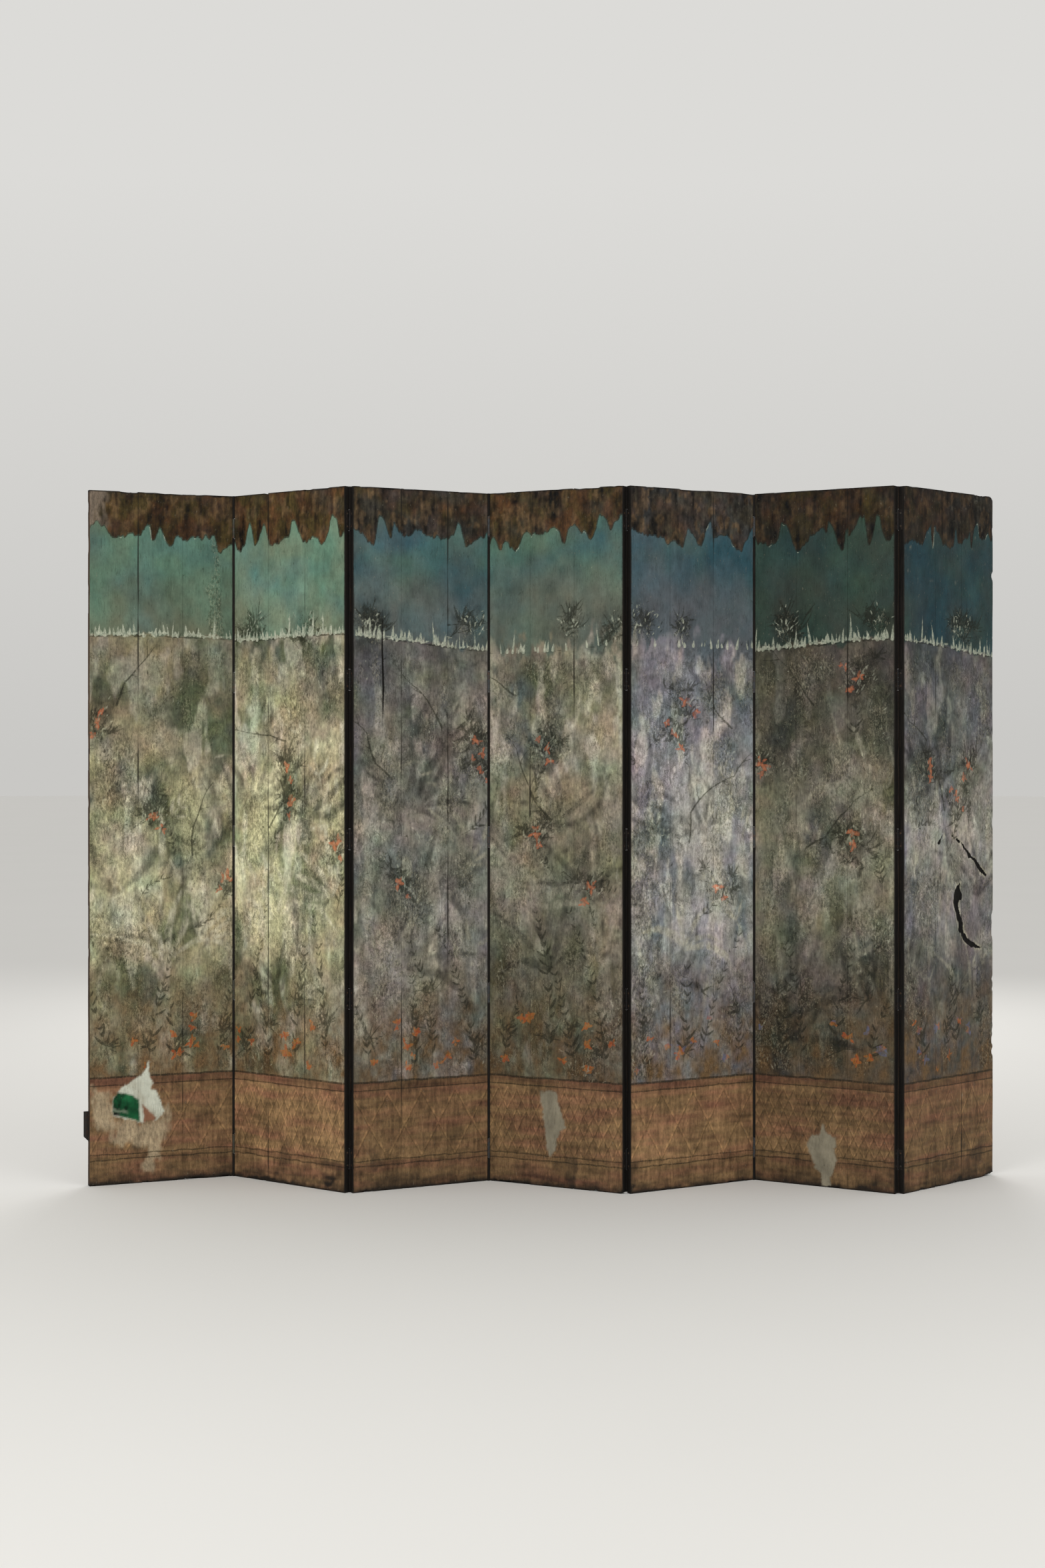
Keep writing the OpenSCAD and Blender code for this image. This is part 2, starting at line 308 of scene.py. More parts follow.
def make_world():
    """Even white light from all round. Seen directly or in a reflection, the backdrop is pale."""
    s = Shader("studio", "worlds")
    bpy.context.scene.world = s.owner
    light = s.tree.nodes["Background"]
    s.put(light.inputs["Strength"], WORLD_LIGHT)
    s.put(light.inputs["Color"], (1, 1, 1, 1))
    up = s.node("SeparateXYZ", s.node("TexCoord").outputs["Generated"]).outputs[2]
    rise = s.node("MapRange", up, 0.0, BACKDROP_RISE).outputs[0]
    shown = s.node("Background", s.mix(rise, BACKDROP_LOW, BACKDROP_HIGH)).outputs[0]
    ray = s.node("LightPath").outputs
    seen = ray["Is Camera Ray"]
    for name in ("Is Glossy Ray", "Is Transmission Ray"):
        seen = s.math("MAXIMUM", seen, ray[name])
    both = s.node("MixShader", seen, light.outputs[0], shown).outputs[0]
    s.put(s.tree.nodes["World Output"].inputs["Surface"], both)


def make_lamp(name, place, watts):
    """Square softbox that looks at the middle of the screen."""
    data = bpy.data.lights.new(name, "AREA")
    data.size = LAMP_SIZE
    data.energy = watts
    lamp = link(bpy.data.objects.new(name, data))
    lamp.location = place
    aim = link(bpy.data.objects.new(name + "_aim", None))
    aim.location = (0, 0, PANEL_H * MM / 2)
    track = lamp.constraints.new("TRACK_TO")
    track.target = aim
    track.track_axis, track.up_axis = "TRACK_NEGATIVE_Z", "UP_Y"


def make_studio():
    make_floor()
    make_world()
    for lamp in LAMPS:
        make_lamp(*lamp)
    bpy.context.scene.view_settings.view_transform = "Standard"


# Places of the panels, as in the CAD part


def is_front(fold):
    """Folds 1, 3 and 5, counted from 0 here, have their pins in front of the painted faces."""
    return fold % 2 == 0


def rotated(degrees, x, y):
    c, s = math.cos(math.radians(degrees)), math.sin(math.radians(degrees))
    return np.array([x * c - y * s, x * s + y * c])


def panel_turns():
    turns = [FIRST_TURN]
    for fold, angle in enumerate(FOLDS):
        turns.append(turns[-1] + (-angle if is_front(fold) else angle))
    return turns


def panel_places(turns):
    """Front left corner of each panel, and the low corner of the box round the panels and the cleat."""
    places = [np.zeros(2)]
    for fold in range(PANELS - 1):
        pin_y = -PIN_OFF if is_front(fold) else BOARD_T + PIN_OFF
        pin = places[-1] + rotated(turns[fold], PANEL_W + FOLD_GAP / 2, pin_y)
        places.append(pin - rotated(turns[fold + 1], -FOLD_GAP / 2, pin_y))
    corners = [rotated(turns[0], -FIN_OUT, y) for y in FIN_Y]
    for turn, place in zip(turns, places):
        corners += [place + rotated(turn, x, y) for x in (0, PANEL_W) for y in (0, BOARD_T)]
    return places, np.min(corners, 0)


TURNS = panel_turns()
PLACES, LOW = panel_places(TURNS)


def panel_origin(panel):
    """Front left corner of a panel in the scene, in mm."""
    return PLACES[panel] - LOW + np.array(cad_box[0][:2]) / MM


# Sections of the boards. An edge is a list of points (out, y) from the painted face to the back:
# out is how far a point stands out of the edge's plane, and y the depth.


def arris(y_from_back=False, size=ARRIS):
    """The rounded corner of an edge with the face, or with the back, always from front to back."""
    front = [(-size, 0.0), (-0.3 * size, 0.3 * size), (0.0, size)]
    if y_from_back:
        return [(out, BOARD_T - y) for out, y in reversed(front)]
    return front


def joint_face():
    """The front of a joint between boards, where old paint and filler bridge most of the gap."""
    corner = [(out + JOINT_FILL, y) for out, y in arris(size=JOINT_ARRIS)]
    return corner + [(JOINT_FILL, JOINT_FILL_Y[0]), (0.0, JOINT_FILL_Y[1])]


def plain_edge(sunk=0.0):
    """A free edge. Where the cleat's plate is let in, it is sunk."""
    y = CLEAT_FROM - 2 * PAIR
    sides = [(0, y), (-sunk, y + PAIR), (-sunk, BOARD_T / 2), (-sunk, CLEAT_TO), (0, CLEAT_TO + PAIR)]
    return arris() + sides + arris(True)


def tongue_edge():
    end = TONGUE_Y + TONGUE_T
    sides = [(0, TONGUE_Y), (TONGUE_W, TONGUE_Y), (TONGUE_W, end), (0, end), (0, EDGE_MIDDLE)]
    return joint_face() + sides + arris(True)


def groove_edge():
    start = TONGUE_Y - TONGUE_PLAY
    end = TONGUE_Y + TONGUE_T + TONGUE_PLAY
    depth = TONGUE_W - BOARD_GAP + 2 * TONGUE_PLAY
    sides = [(0, start), (-depth, start), (-depth, end), (0, end), (0, EDGE_MIDDLE)]
    return joint_face() + sides + arris(True)


def pin_arc(radius, stop_out, over_the_front):
    """Points round the pin's axis, from the face to where the arc reaches stop_out."""
    start = math.pi - math.asin(PIN_OFF / radius)
    stop = math.acos((stop_out - FOLD_GAP / 2) / radius)
    if over_the_front:
        stop += 2 * math.pi
    angles = np.linspace(start, stop, ARC_POINTS)
    return [(FOLD_GAP / 2 + radius * math.cos(a), radius * math.sin(a) - PIN_OFF) for a in angles]


def fold_edge(fold, zone, has_bead):
    """Edge at a fold. Zone 0 has the bead or its hollow, 1 the room round the pin, 2 a leaf as well."""
    sunk = RECESS_D if zone == 2 else 0.0
    if zone == 0 and has_bead:
        points = pin_arc(BEAD_R, 0.0, True)
    else:
        points = pin_arc(HOLLOW_R, -sunk, False)
    points += [(-sunk, RECESS_W), (0.0, RECESS_W + PAIR)] + arris(True)
    if is_front(fold):
        return points
    return [(out, BOARD_T - y) for out, y in reversed(points)]


def board_edge(panel, board, side, zone, at_cleat):
    """Edge of a board on its left (side 0) or right (side 1)."""
    if side == 0 and board > 0:
        return groove_edge()
    if side == 1 and board < 2:
        return tongue_edge()
    fold = panel - 1 + side
    if 0 <= fold < PANELS - 1:
        return fold_edge(fold, zone, side == 1)
    return plain_edge(RECESS_D if side == 0 and at_cleat else 0.0)


def board_span(panel, board):
    """Left and right side of a board across its panel."""
    first = LEFT_BOARD_W[panel]
    edges = (0, first, first + MIDDLE_BOARD_W[panel], PANEL_W)
    left = edges[board] + (BOARD_GAP / 2 if board > 0 else 0)
    right = edges[board + 1] - (BOARD_GAP / 2 if board < 2 else 0)
    return left, right


def make_rings():
    """Rows of z, hinge zone, in a housing, lip of a housing, at the cleat, and inset, up a board."""
    bands = [(middle, half) for middle in HINGE_Z for half in (HOLLOW_HALF, RECESS_HALF)]
    bands += [(middle, HOUSING_HALF) for middle in BATTEN_Z] + [(CLEAT_Z, CLEAT_HALF)]
    cuts = sorted({0.0, PANEL_H} | {middle + side * half for middle, half in bands for side in (-1, 1)})
    rounding = [(0.0, 0, 0, 0, 0, ARRIS), (0.3 * ARRIS, 0, 0, 0, 0, 0.3 * ARRIS)]
    rings = list(rounding)
    for low, high in zip(cuts, cuts[1:]):
        middle = (low + high) / 2
        hinge = min(abs(middle - z) for z in HINGE_Z)
        zone = (hinge < HOLLOW_HALF) + (hinge < RECESS_HALF)
        housed = any(abs(middle - z) < HOUSING_HALF for z in BATTEN_Z)
        at_cleat = abs(middle - CLEAT_Z) < CLEAT_HALF
        start = ARRIS if low == 0 else low + PAIR
        stop = PANEL_H - ARRIS if high == PANEL_H else high - PAIR
        for z in np.linspace(start, stop, max(2, math.ceil((stop - start) / RING_STEP) + 1)):
            lips = [side for b in BATTEN_Z for side in (-1, 1)
                    if abs(z - b - side * HOUSING_HALF) < 2 * PAIR]
            rings.append((z, zone, housed, 0 if housed else -sum(lips), at_cleat, 0.0))
    rings += [(PANEL_H - z, *rest) for z, *rest in reversed(rounding)]
    return np.array(rings, float)


RINGS = make_rings()


# The painting. Every panel has a canvas: layers on a grid, x across and z up.
# A layer of strokes holds the distance to the nearest stroke's rim in mm, below 0 inside it.


def smooth(t):
    """Rises smoothly from 0 to 1 as t does."""
    t = np.clip(t, 0, 1)
    return t * t * (3 - 2 * t)


def blend(a, b, share):
    """Colours between a and b, by a share at every point."""
    return a + (b - a) * np.clip(share, 0, 1)[..., None]


def value_noise(x, z, size_x, size_z, rng, octaves=3):
    """Smooth noise round 0, mostly within 1. Its blobs are about size_x by size_z mm."""
    total = np.zeros(x.shape)
    power = 0.0
    for octave in range(octaves):
        share = 0.6**octave
        u, v = x / size_x * 2**octave, z / size_z * 2**octave
        i, j = np.floor(u).astype(int), np.floor(v).astype(int)
        lattice = rng.uniform(-1, 1, (j.max() + 2, i.max() + 2))
        s, t = smooth(u - i), smooth(v - j)
        low = lattice[j, i] * (1 - s) + lattice[j, i + 1] * s
        high = lattice[j + 1, i] * (1 - s) + lattice[j + 1, i + 1] * s
        total += share * (low * (1 - t) + high * t)
        power += share**2
    return total / math.sqrt(power) * 1.6


def stem(start, heading, length, bend, count=10):
    """Points along a stem that sets out at a heading, in degrees from upright, and turns by bend."""
    headings = np.radians(heading + bend * np.linspace(0, 1, count - 1))
    steps = np.stack([np.sin(headings), np.cos(headings)], -1) * length / (count - 1)
    return np.concatenate([[start], start + np.cumsum(steps, 0)])


class Canvas:
    """The painting of one panel."""

    STROKES = ("ink", "bloom", "chalk", "groove", "loss", "crack", "frond", "glow")

    def __init__(self, panel):
        self.panel = panel
        across = np.arange(0, PANEL_W + CELL, CELL)
        up = np.arange(0, PANEL_H + CELL, CELL)
        self.x, self.z = np.meshgrid(across, up)
        self.rng = np.random.default_rng(PICTURE_SEED + panel)
        self.layers = {name: np.full(self.x.shape, FAR) for name in self.STROKES}
        self.layers["lace"] = np.zeros(self.x.shape)
        self.layers["shadow"] = np.zeros(self.x.shape)

    def noise(self, size_x, size_z, octaves=3):
        return value_noise(self.x, self.z, size_x, size_z, self.rng, octaves)

    def between(self, low, high):
        return self.rng.uniform(low, high)

    def stroke(self, layer, path, radii):
        """Adds a stroke along a path. Its radius goes through the radii from end to end."""
        path = np.asarray(path, float)
        radii = np.interp(np.linspace(0, 1, len(path)), np.linspace(0, 1, len(radii)), radii)
        grid = self.layers[layer]
        for a, b, ra, rb in zip(path[:-1], path[1:], radii[:-1], radii[1:]):
            reach = max(ra, rb) + FAR
            i0, j0 = np.maximum(np.floor((np.minimum(a, b) - reach) / CELL), 0).astype(int)
            i1, j1 = np.maximum(np.ceil((np.maximum(a, b) + reach) / CELL), 0).astype(int) + 1
            near = (slice(j0, j1), slice(i0, i1))
            x, z = self.x[near] - a[0], self.z[near] - a[1]
            if x.size == 0:
                continue
            dx, dz = b - a
            along = np.clip((x * dx + z * dz) / (dx * dx + dz * dz + 1e-9), 0, 1)
            rim = np.hypot(x - along * dx, z - along * dz) - (ra + (rb - ra) * along)
            grid[near] = np.minimum(grid[near], rim)

    def leaf(self, layer, start, heading, length, width, bend=0.0):
        path = stem(start, heading, length, bend, 4)
        self.stroke(layer, path, width / 2 * np.array([0.4, 1.0, 0.8, 0.15]))

    def spray(self, start, heading, length, bend, leaf_length, layer="ink"):
        """A stem with leaves on both sides, smaller towards its tip."""
        path = stem(start, heading, length, bend, 12)
        self.stroke(layer, path, (1.5, 1.2, 0.7))
        count = max(4, int(length / (leaf_length * 0.62)))
        for k in range(2, count + 1):
            t = k / count
            spot = np.array([np.interp(t, np.linspace(0, 1, 12), path[:, n]) for n in (0, 1)])
            way = heading + bend * t
            size = leaf_length * (1.1 - 0.5 * t) * self.between(0.75, 1.2)
            for side in (-1, 1):
                if self.rng.random() < 0.7:
                    turn = side * self.between(22, 68)
                    long = size * self.between(0.6, 1.25)
                    self.leaf(layer, spot, way + turn, long, size * 0.22, -turn * 0.4)
        return path[-1]

    def twig(self, start, heading, length, forks=3):
        """A bare crooked branch with side shoots."""
        spot, way = np.array(start, float), heading
        for k in range(forks):
            part = length / forks * self.between(0.8, 1.2)
            path = stem(spot, way, part, self.between(-22, 22), 5)
            thick = 3.4 * (1 - 0.6 * k / forks)
            self.stroke("ink", path, (thick, thick * 0.75))
            shoot = way + self.rng.choice([-1, 1]) * self.between(30, 60)
            self.stroke("ink", stem(path[2], shoot, part * 0.7, self.between(-30, 30), 5), (2.0, 0.9))
            spot, way = path[-1], way + self.between(-28, 28)

    def blossom(self, centre, radius):
        """A bloom of loose ragged petals."""
        turn = self.between(0, 72)
        for k in range(6):
            way = turn + 60 * k + self.between(-24, 24)
            start = np.array(centre) + 0.35 * radius * self.rng.uniform(-1, 1, 2)
            size = radius * self.between(0.5, 1.35)
            self.leaf("bloom", start, way, size, radius * self.between(0.3, 0.62), self.between(-40, 40))

    def sample(self, grid, x, z):
        """Values of a layer at points, straight between the grid's own."""
        u = np.clip(x / CELL, 0, grid.shape[1] - 1.001)
        v = np.clip(z / CELL, 0, grid.shape[0] - 1.001)
        i, j = u.astype(int), v.astype(int)
        s, t = u - i, v - j
        if grid.ndim == 3:
            s, t = s[..., None], t[..., None]
        low = grid[j, i] * (1 - s) + grid[j, i + 1] * s
        high = grid[j + 1, i] * (1 - s) + grid[j + 1, i + 1] * s
        return low * (1 - t) + high * t


def hill_height(canvas):
    """A gently rolling line across the whole screen."""
    along = canvas.panel * PANEL_W + canvas.x
    roll = 16 * np.sin(along / 330) + 9 * np.sin(along / 142 + 1.3)
    return HILL - HILL_DROP * canvas.panel + roll


def torn_line(canvas, middle, drop, rise, span):
    """Heights of a torn edge: tips that hang down and notches that reach up, at uneven steps."""
    rng = canvas.rng
    places = [-rng.uniform(0, 20)]
    heights = [middle]
    while places[-1] < PANEL_W + CELL:
        places.append(places[-1] + rng.uniform(*span) * rng.choice((0.45, 1.0, 1.3)))
        hangs = len(places) % 2 if rng.random() < 0.8 else 1
        heights.append(middle - rng.uniform(*drop) if hangs else middle + rng.uniform(*rise))
    places, heights = np.array(places), np.array(heights)
    x = canvas.x[0]
    k = np.clip(np.searchsorted(places, x, "right") - 1, 0, len(places) - 2)
    t = (x - places[k]) / (places[k + 1] - places[k])
    t = np.clip(t ** rng.uniform(0.6, 1.7, len(places))[k] * rng.uniform(1.0, 1.5, len(places))[k], 0, 1)
    t = t + (smooth(t) - t) * 0.5
    line = heights[k] + (heights[k + 1] - heights[k]) * t
    return line + 5 * value_noise(x, x * 0, 12, 9, rng, 3)


def paint_fringe(canvas):
    """Height of the torn foot of the brown band. Its rim is drawn in ink, with pale touches below."""
    foot = torn_line(canvas, BROWN_FOOT, (0, 58), (-12, 44), (14, 44))
    x = canvas.x[0]
    canvas.stroke("ink", np.stack([x, foot], -1), [1.8])
    for start in range(0, len(x) - 14, 18):
        if canvas.rng.random() < 0.28:
            part = slice(start, start + canvas.rng.integers(4, 10))
            canvas.stroke("chalk", np.stack([x[part], foot[part] - 4.0], -1), [0.6, 1.8, 0.4])
    return np.broadcast_to(foot, canvas.x.shape)


def paint_sky(canvas):
    """Soft teal sky, which grows greyer and warmer towards the hill."""
    noise = canvas.noise
    panel = canvas.panel
    sky = blend(SKY_GREEN, SKY_BLUE, COOLNESS[panel] + 0.28 * noise(170, 130))
    veil = blend(STONE_WARM, STONE_COOL, COOLNESS[panel]) * (0.52 + 0.32 * HAZE[panel])
    veil = veil * (1 + HAZE[panel] * np.array([0.0, 0.16, 0.2]))
    low = 1 - smooth((canvas.z - HILL - 40) / 230)
    sky = blend(sky, veil, 0.12 + HAZE[panel] * low + 0.2 * noise(90, 120))
    cloud = 1 + 0.13 * noise(70, 90) + 0.06 * noise(16, 40)
    # Each panel's sky lightness holds painted shade besides the sky's own tone
    return sky * SKY_LIGHTNESS[panel] * cloud[..., None]


def paint_field(canvas):
    """Weathered ground of the picture: soft clouds of stone and moss tones, with painted shade that leaves
    it paler at mid height.
    """
    noise = canvas.noise
    panel = canvas.panel
    cool = COOLNESS[panel]
    tone = blend(STONE_WARM, STONE_COOL, cool + 0.2 * noise(120, 200))
    dark = blend(MOSS, SLATE, cool + 0.3 * noise(90, 120))
    field = blend(tone, dark, 0.32 + (0.64 - 0.28 * cool) * noise(100, 150))
    pale = PALE_STONE * np.array([1, 1, 1 + 0.16 * cool])
    field = blend(field, pale, 0.62 * smooth((noise(44, 120) - 0.1) / 0.8))
    field = field * (1 + 0.13 * noise(24, 34) + 0.08 * noise(9, 16))[..., None]
    warm = noise(60, 90)[..., None] * np.array([0.035, 0.0, -0.045])
    green = noise(80, 70)[..., None] * np.array([-0.045, 0.03, -0.02])
    field = field * (1 + warm + green)
    # Painted shade: darker towards the field's top and foot, panel by panel, times each panel's lightness,
    # which holds painted shade too
    rise = (canvas.z - DADO_TOP) / (HILL - DADO_TOP)
    shade = np.interp(rise, *FIELD_SHADE)
    shade = shade * (1 + (HILL_SHADE[panel] - 1) * smooth((rise - 0.5) / 0.35))
    shade = shade * (1 + (FOOT_SHADE[panel] - 1) * smooth((0.5 - rise) / 0.35))
    field = field * shade[..., None] * LIGHTNESS[panel]
    # A cream wash at mid height, strongest on the lightest panels: cream paint and a painted sheen
    sheen_wash = smooth((noise(100, 380) + 0.2) / 0.9) * smooth(1 - np.abs(rise - 0.5) / 0.36)
    cream = CREAM_WASH_AND_SHEEN * LIGHTNESS[panel] * np.array([1, 1, 1 + 0.35 * cool])
    field = blend(field, cream, 0.6 * (LIGHTNESS[panel] - 0.4) * sheen_wash)
    earth = smooth((0.36 - rise) / 0.36) * (0.55 + 0.35 * noise(34, 44))
    return blend(field, TAN * 0.52 * LIGHTNESS[panel] ** 0.5, earth)


def paint_brown(canvas):
    """Brown band along the top, blotched and a little streaked. The first panel's corner is worn pale."""
    noise = canvas.noise
    panel = canvas.panel
    tone = blend(BARK, BARK_RED, 0.4 + 0.6 * noise(40, 50))
    tone = blend(tone, SLATE * 0.42, 0.6 * COOLNESS[panel] + 0.2 * noise(60, 60))
    tone = blend(tone, TAN * 0.72, 0.5 * smooth((noise(26, 40) - 0.35) * 2))
    blots = 0.34 * noise(20, 36) + 0.26 * noise(9, 90) + 0.16 * noise(7, 9)
    # Painted shade of the band, panel by panel, with the sky's lightness
    tone = tone * (0.92 + 1.1 * blots)[..., None] * BROWN_SHADE[panel] * math.sqrt(SKY_LIGHTNESS[panel])
    if panel == 0:
        edge = smooth((52 + 22 * noise(30, 60) - canvas.x) / 24)
        tone = blend(tone, linear("75685a"), 0.8 * edge)
    return tone


def paint_dado(canvas):
    """Tan foot of the picture, redder along its top, with brushed lines and dark scuffs near the floor."""
    noise, z = canvas.noise, canvas.z
    red = 0.25 + 0.4 * noise(150, 24) + smooth((z - DADO_TOP + 34) / 20) * 0.4
    tone = blend(TAN, TAN_RED, red)
    brushed = 0.09 * noise(90, 9) + 0.09 * noise(8, 60) + 0.09 * noise(60, 60)
    # Painted shade of the dado, panel by panel
    tone = tone * (1.0 + 1.8 * brushed)[..., None] * DADO_SHADE[canvas.panel]
    border = smooth((z - DADO_TOP + 28) / 5) * 0.24 + smooth((TRELLIS_FROM - 6 - z) / 5) * 0.14
    tone = tone * (1 - border)[..., None]
    low = (52 + 22 * noise(50, 20) - z) / 60
    scuff = smooth(low) * 0.62 + smooth((16 - z) / 14) * 0.5
    blot = smooth((noise(70, 80) - 0.75) * 2) * smooth((210 - z) / 130)
    return blend(tone, SOOT * 1.5, scuff + 0.5 * blot)


TRELLIS_FROM = 98.0
TRELLIS_TO = 292.0


def draw_trellis(canvas):
    """A diamond trellis between double lines: fine on every second panel, wide on the others."""
    for z in (DADO_TOP, DADO_TOP - 24, TRELLIS_FROM - 6, TRELLIS_FROM - 22):
        x = np.arange(0, PANEL_W + 20, 20.0)
        path = np.stack([x, z + canvas.rng.normal(0, 0.8, len(x))], -1)
        canvas.stroke("ink", path, [3.2 if z == DADO_TOP else 2.3])
    fine = canvas.panel % 2 == 1
    pitch = 32.0 if fine else 112.0
    rise = TRELLIS_TO - TRELLIS_FROM
    slope = 0.5 if fine else 0.58
    for side in (-1, 1):
        start = -rise * slope if side == 1 else 0.0
        for x0 in np.arange(start, PANEL_W + rise * slope, pitch):
            t = np.linspace(0, 1, 9)
            x = x0 + side * rise * slope * t
            path = np.stack([x, TRELLIS_FROM + rise * t], -1) + canvas.rng.normal(0, 0.9, (9, 2))
            inside = (x > -5) & (x < PANEL_W + 5)
            if inside.sum() > 1:
                canvas.stroke("chalk", path[inside], [2.1 if fine else 3.2])
                canvas.stroke("groove", path[inside] - (0, 8.0), [2.0])


def draw_bush(canvas, centre, width, height, fullness=1.0):
    """Short dabs, dark ones and a few pale ones, over a soft shadow with fine flecks."""
    between = canvas.between
    for k in range(int(fullness * width * height / 170)):
        across, up = canvas.rng.normal(0, 0.5, 2)
        spot = (centre[0] + across * width / 2, centre[1] + up * height / 2)
        lean = 55 * across + between(-40, 40)
        layer = "ink" if k % 2 else "chalk"
        size = between(6, 22)
        canvas.leaf(layer, spot, lean, size, between(2.0, 4.6), between(-35, 35))
    away = np.hypot((canvas.x - centre[0]) / width, (canvas.z - centre[1]) / height) * 2
    canvas.layers["lace"] += smooth((1.3 - away) / 0.9)
    canvas.layers["shadow"] += fullness * smooth((1.7 - away + 0.5 * canvas.noise(26, 26)) / 1.5)


def draw_fan(canvas, centre, reach, count):
    """Long narrow leaves that spread from a point."""
    between = canvas.between
    lean = between(-60, 60)
    for _ in range(count):
        start = np.array(centre) + canvas.rng.normal(0, 5, 2)
        way = lean + between(-105, 105)
        length = reach * between(0.45, 1.0)
        canvas.leaf("ink", start, way, length, between(3.0, 4.4), between(-34, 34))


def draw_fronds(canvas):
    """Large soft fronds that show through the ground, some dark and some pale."""
    between = canvas.between
    for k in range(10):
        start = (between(20, PANEL_W - 20), between(DADO_TOP + 40, 1250))
        lean = between(-50, 50)
        layer = "glow" if k % 5 > 2 else "frond"
        if k % 2:
            canvas.spray(start, lean, between(220, 380), between(-60, 60), between(60, 95), layer)
            continue
        for j in range(5):
            turn = lean + 30 * (j - 2)
            canvas.leaf(layer, start, turn, between(150, 310), between(16, 30), between(-75, 75))


def draw_tall_sprays(canvas):
    """Tall sprays with fans of leaves, which stand on the dado."""
    between = canvas.between
    for k in range(4):
        start = (PANEL_W * (k + between(0.2, 0.8)) / 4, DADO_TOP + between(4, 60))
        canvas.spray(start, between(-12, 12), between(210, 520), between(-30, 30), between(28, 42))
        draw_fan(canvas, start + np.array([0, between(40, 260)]), between(50, 90), 12)


def draw_clumps(canvas):
    """Sprays at mid height. All but the last end in a bush with fans of leaves and blossoms."""
    between = canvas.between
    for k in range(4):
        start = (between(30, PANEL_W - 30), between(720, 1330))
        tip = canvas.spray(start, between(-75, 75), between(130, 230), between(-70, 70), between(20, 32))
        if k == 3:
            continue
        centre = np.clip(tip, (26, 0), (PANEL_W - 26, HILL - 60))
        draw_bush(canvas, centre, between(90, 150), between(80, 130))
        for _ in range(4):
            draw_fan(canvas, centre + canvas.rng.normal(0, 30, 2), between(44, 78), 13)
        canvas.blossom(centre, between(18, 25))
        canvas.blossom(centre + (between(-34, 34), between(-46, -30)), between(13, 20))
        if k == 0:
            canvas.blossom(centre + (between(-44, 44), between(20, 36)), between(12, 17))


def draw_hill_bushes(canvas):
    """Bushes that rise over the hill line."""
    between = canvas.between
    for _ in range(4):
        centre = np.array((between(10, PANEL_W - 10), HILL + between(10, 50)))
        if canvas.rng.random() < 0.75:
            draw_bush(canvas, centre, between(60, 120), between(70, 150), 0.7)
            for _ in range(3):
                draw_fan(canvas, centre + canvas.rng.normal(0, 22, 2), between(50, 90), 12)


def draw_loose_growth(canvas):
    """Thin bushes all up the field, and two bare twigs."""
    between = canvas.between
    for k in range(9):
        centre = (between(0, PANEL_W), DADO_TOP + 1250 * (k + between(0, 1)) / 9)
        draw_bush(canvas, centre, between(60, 170), between(90, 240), between(0.25, 0.6))
    canvas.twig((between(60, PANEL_W - 60), between(950, 1250)), between(-60, 60), between(220, 360), 4)
    canvas.twig((between(60, PANEL_W - 60), between(1250, 1500)), between(-80, 80), between(160, 260))


def draw_low_blossoms(canvas):
    """Blossoms with a leaf each, just over the dado."""
    between = canvas.between
    for _ in range(9):
        centre = (between(14, PANEL_W - 14), DADO_TOP + between(24, 190))
        canvas.blossom(centre, between(12, 21))
        canvas.leaf("ink", centre, between(120, 240), between(20, 40), 3.2, between(-20, 20))


def draw_pale_strips(canvas):
    """Two strips of fine flecks that climb the panel."""
    between = canvas.between
    for _ in range(2):
        middle = between(30, PANEL_W - 30) + 26 * canvas.noise(900, 90)
        low = between(500, 1200)
        strip = smooth((between(20, 40) - np.abs(canvas.x - middle)) / 22)
        strip = strip * smooth((canvas.z - low) / 60) * smooth((low + 420 - canvas.z) / 60)
        canvas.layers["lace"] += strip


def draw_reeds(canvas, hill):
    """Pale strokes that stand on the hill line like a ragged fence, some of them tall."""
    between = canvas.between
    present = 0.9 if HILL_SOFT[canvas.panel] < 30 else 0.3
    x = between(0, 12)
    while x < PANEL_W:
        foot = np.interp(x, canvas.x[0], hill[0]) + between(-5, 3)
        wide = between(1.8, 6.0)
        if canvas.rng.random() < present:
            height = between(45, 90) if canvas.rng.random() < 0.14 else between(10, 40)
            path = stem((x, foot), between(-10, 10), height, between(-12, 12), 4)
            canvas.stroke("chalk", path, (wide, 0.75 * wide, 0.4 * wide, 0.2))
        if canvas.rng.random() < present - 0.35:
            canvas.stroke("chalk", [(x, foot + 2), (x + between(6, 20), foot + 3)], (2.6, 1.4))
        if canvas.rng.random() < 0.3:
            canvas.leaf("ink", (x + 4, foot), between(-30, 30), between(14, 34), 3.2)
        x += wide + between(1, 11)
    line = np.stack([canvas.x[0], hill[0] - 5], -1)[::4]
    weight = 1.2 + 1.1 * np.abs(canvas.rng.normal(0, 1, len(line)))
    canvas.stroke("ink", line, weight if present > 0.5 else 0.5 * weight)


# Damage that the photograph shows, in each panel's own millimetres


def outline_distance(canvas, outline):
    """Distance to a closed outline, below 0 inside it."""
    points = np.asarray(outline, float)
    away = np.full(canvas.x.shape, np.inf)
    inside = np.zeros(canvas.x.shape, bool)
    for a, b in zip(points, np.roll(points, -1, 0)):
        dx, dz = b - a
        x, z = canvas.x - a[0], canvas.z - a[1]
        along = np.clip((x * dx + z * dz) / (dx * dx + dz * dz), 0, 1)
        away = np.minimum(away, np.hypot(x - along * dx, z - along * dz))
        crosses = (a[1] > canvas.z) != (b[1] > canvas.z)
        if dz:
            inside ^= crosses & (x < z * dx / dz)
    return np.where(inside, -away, away)


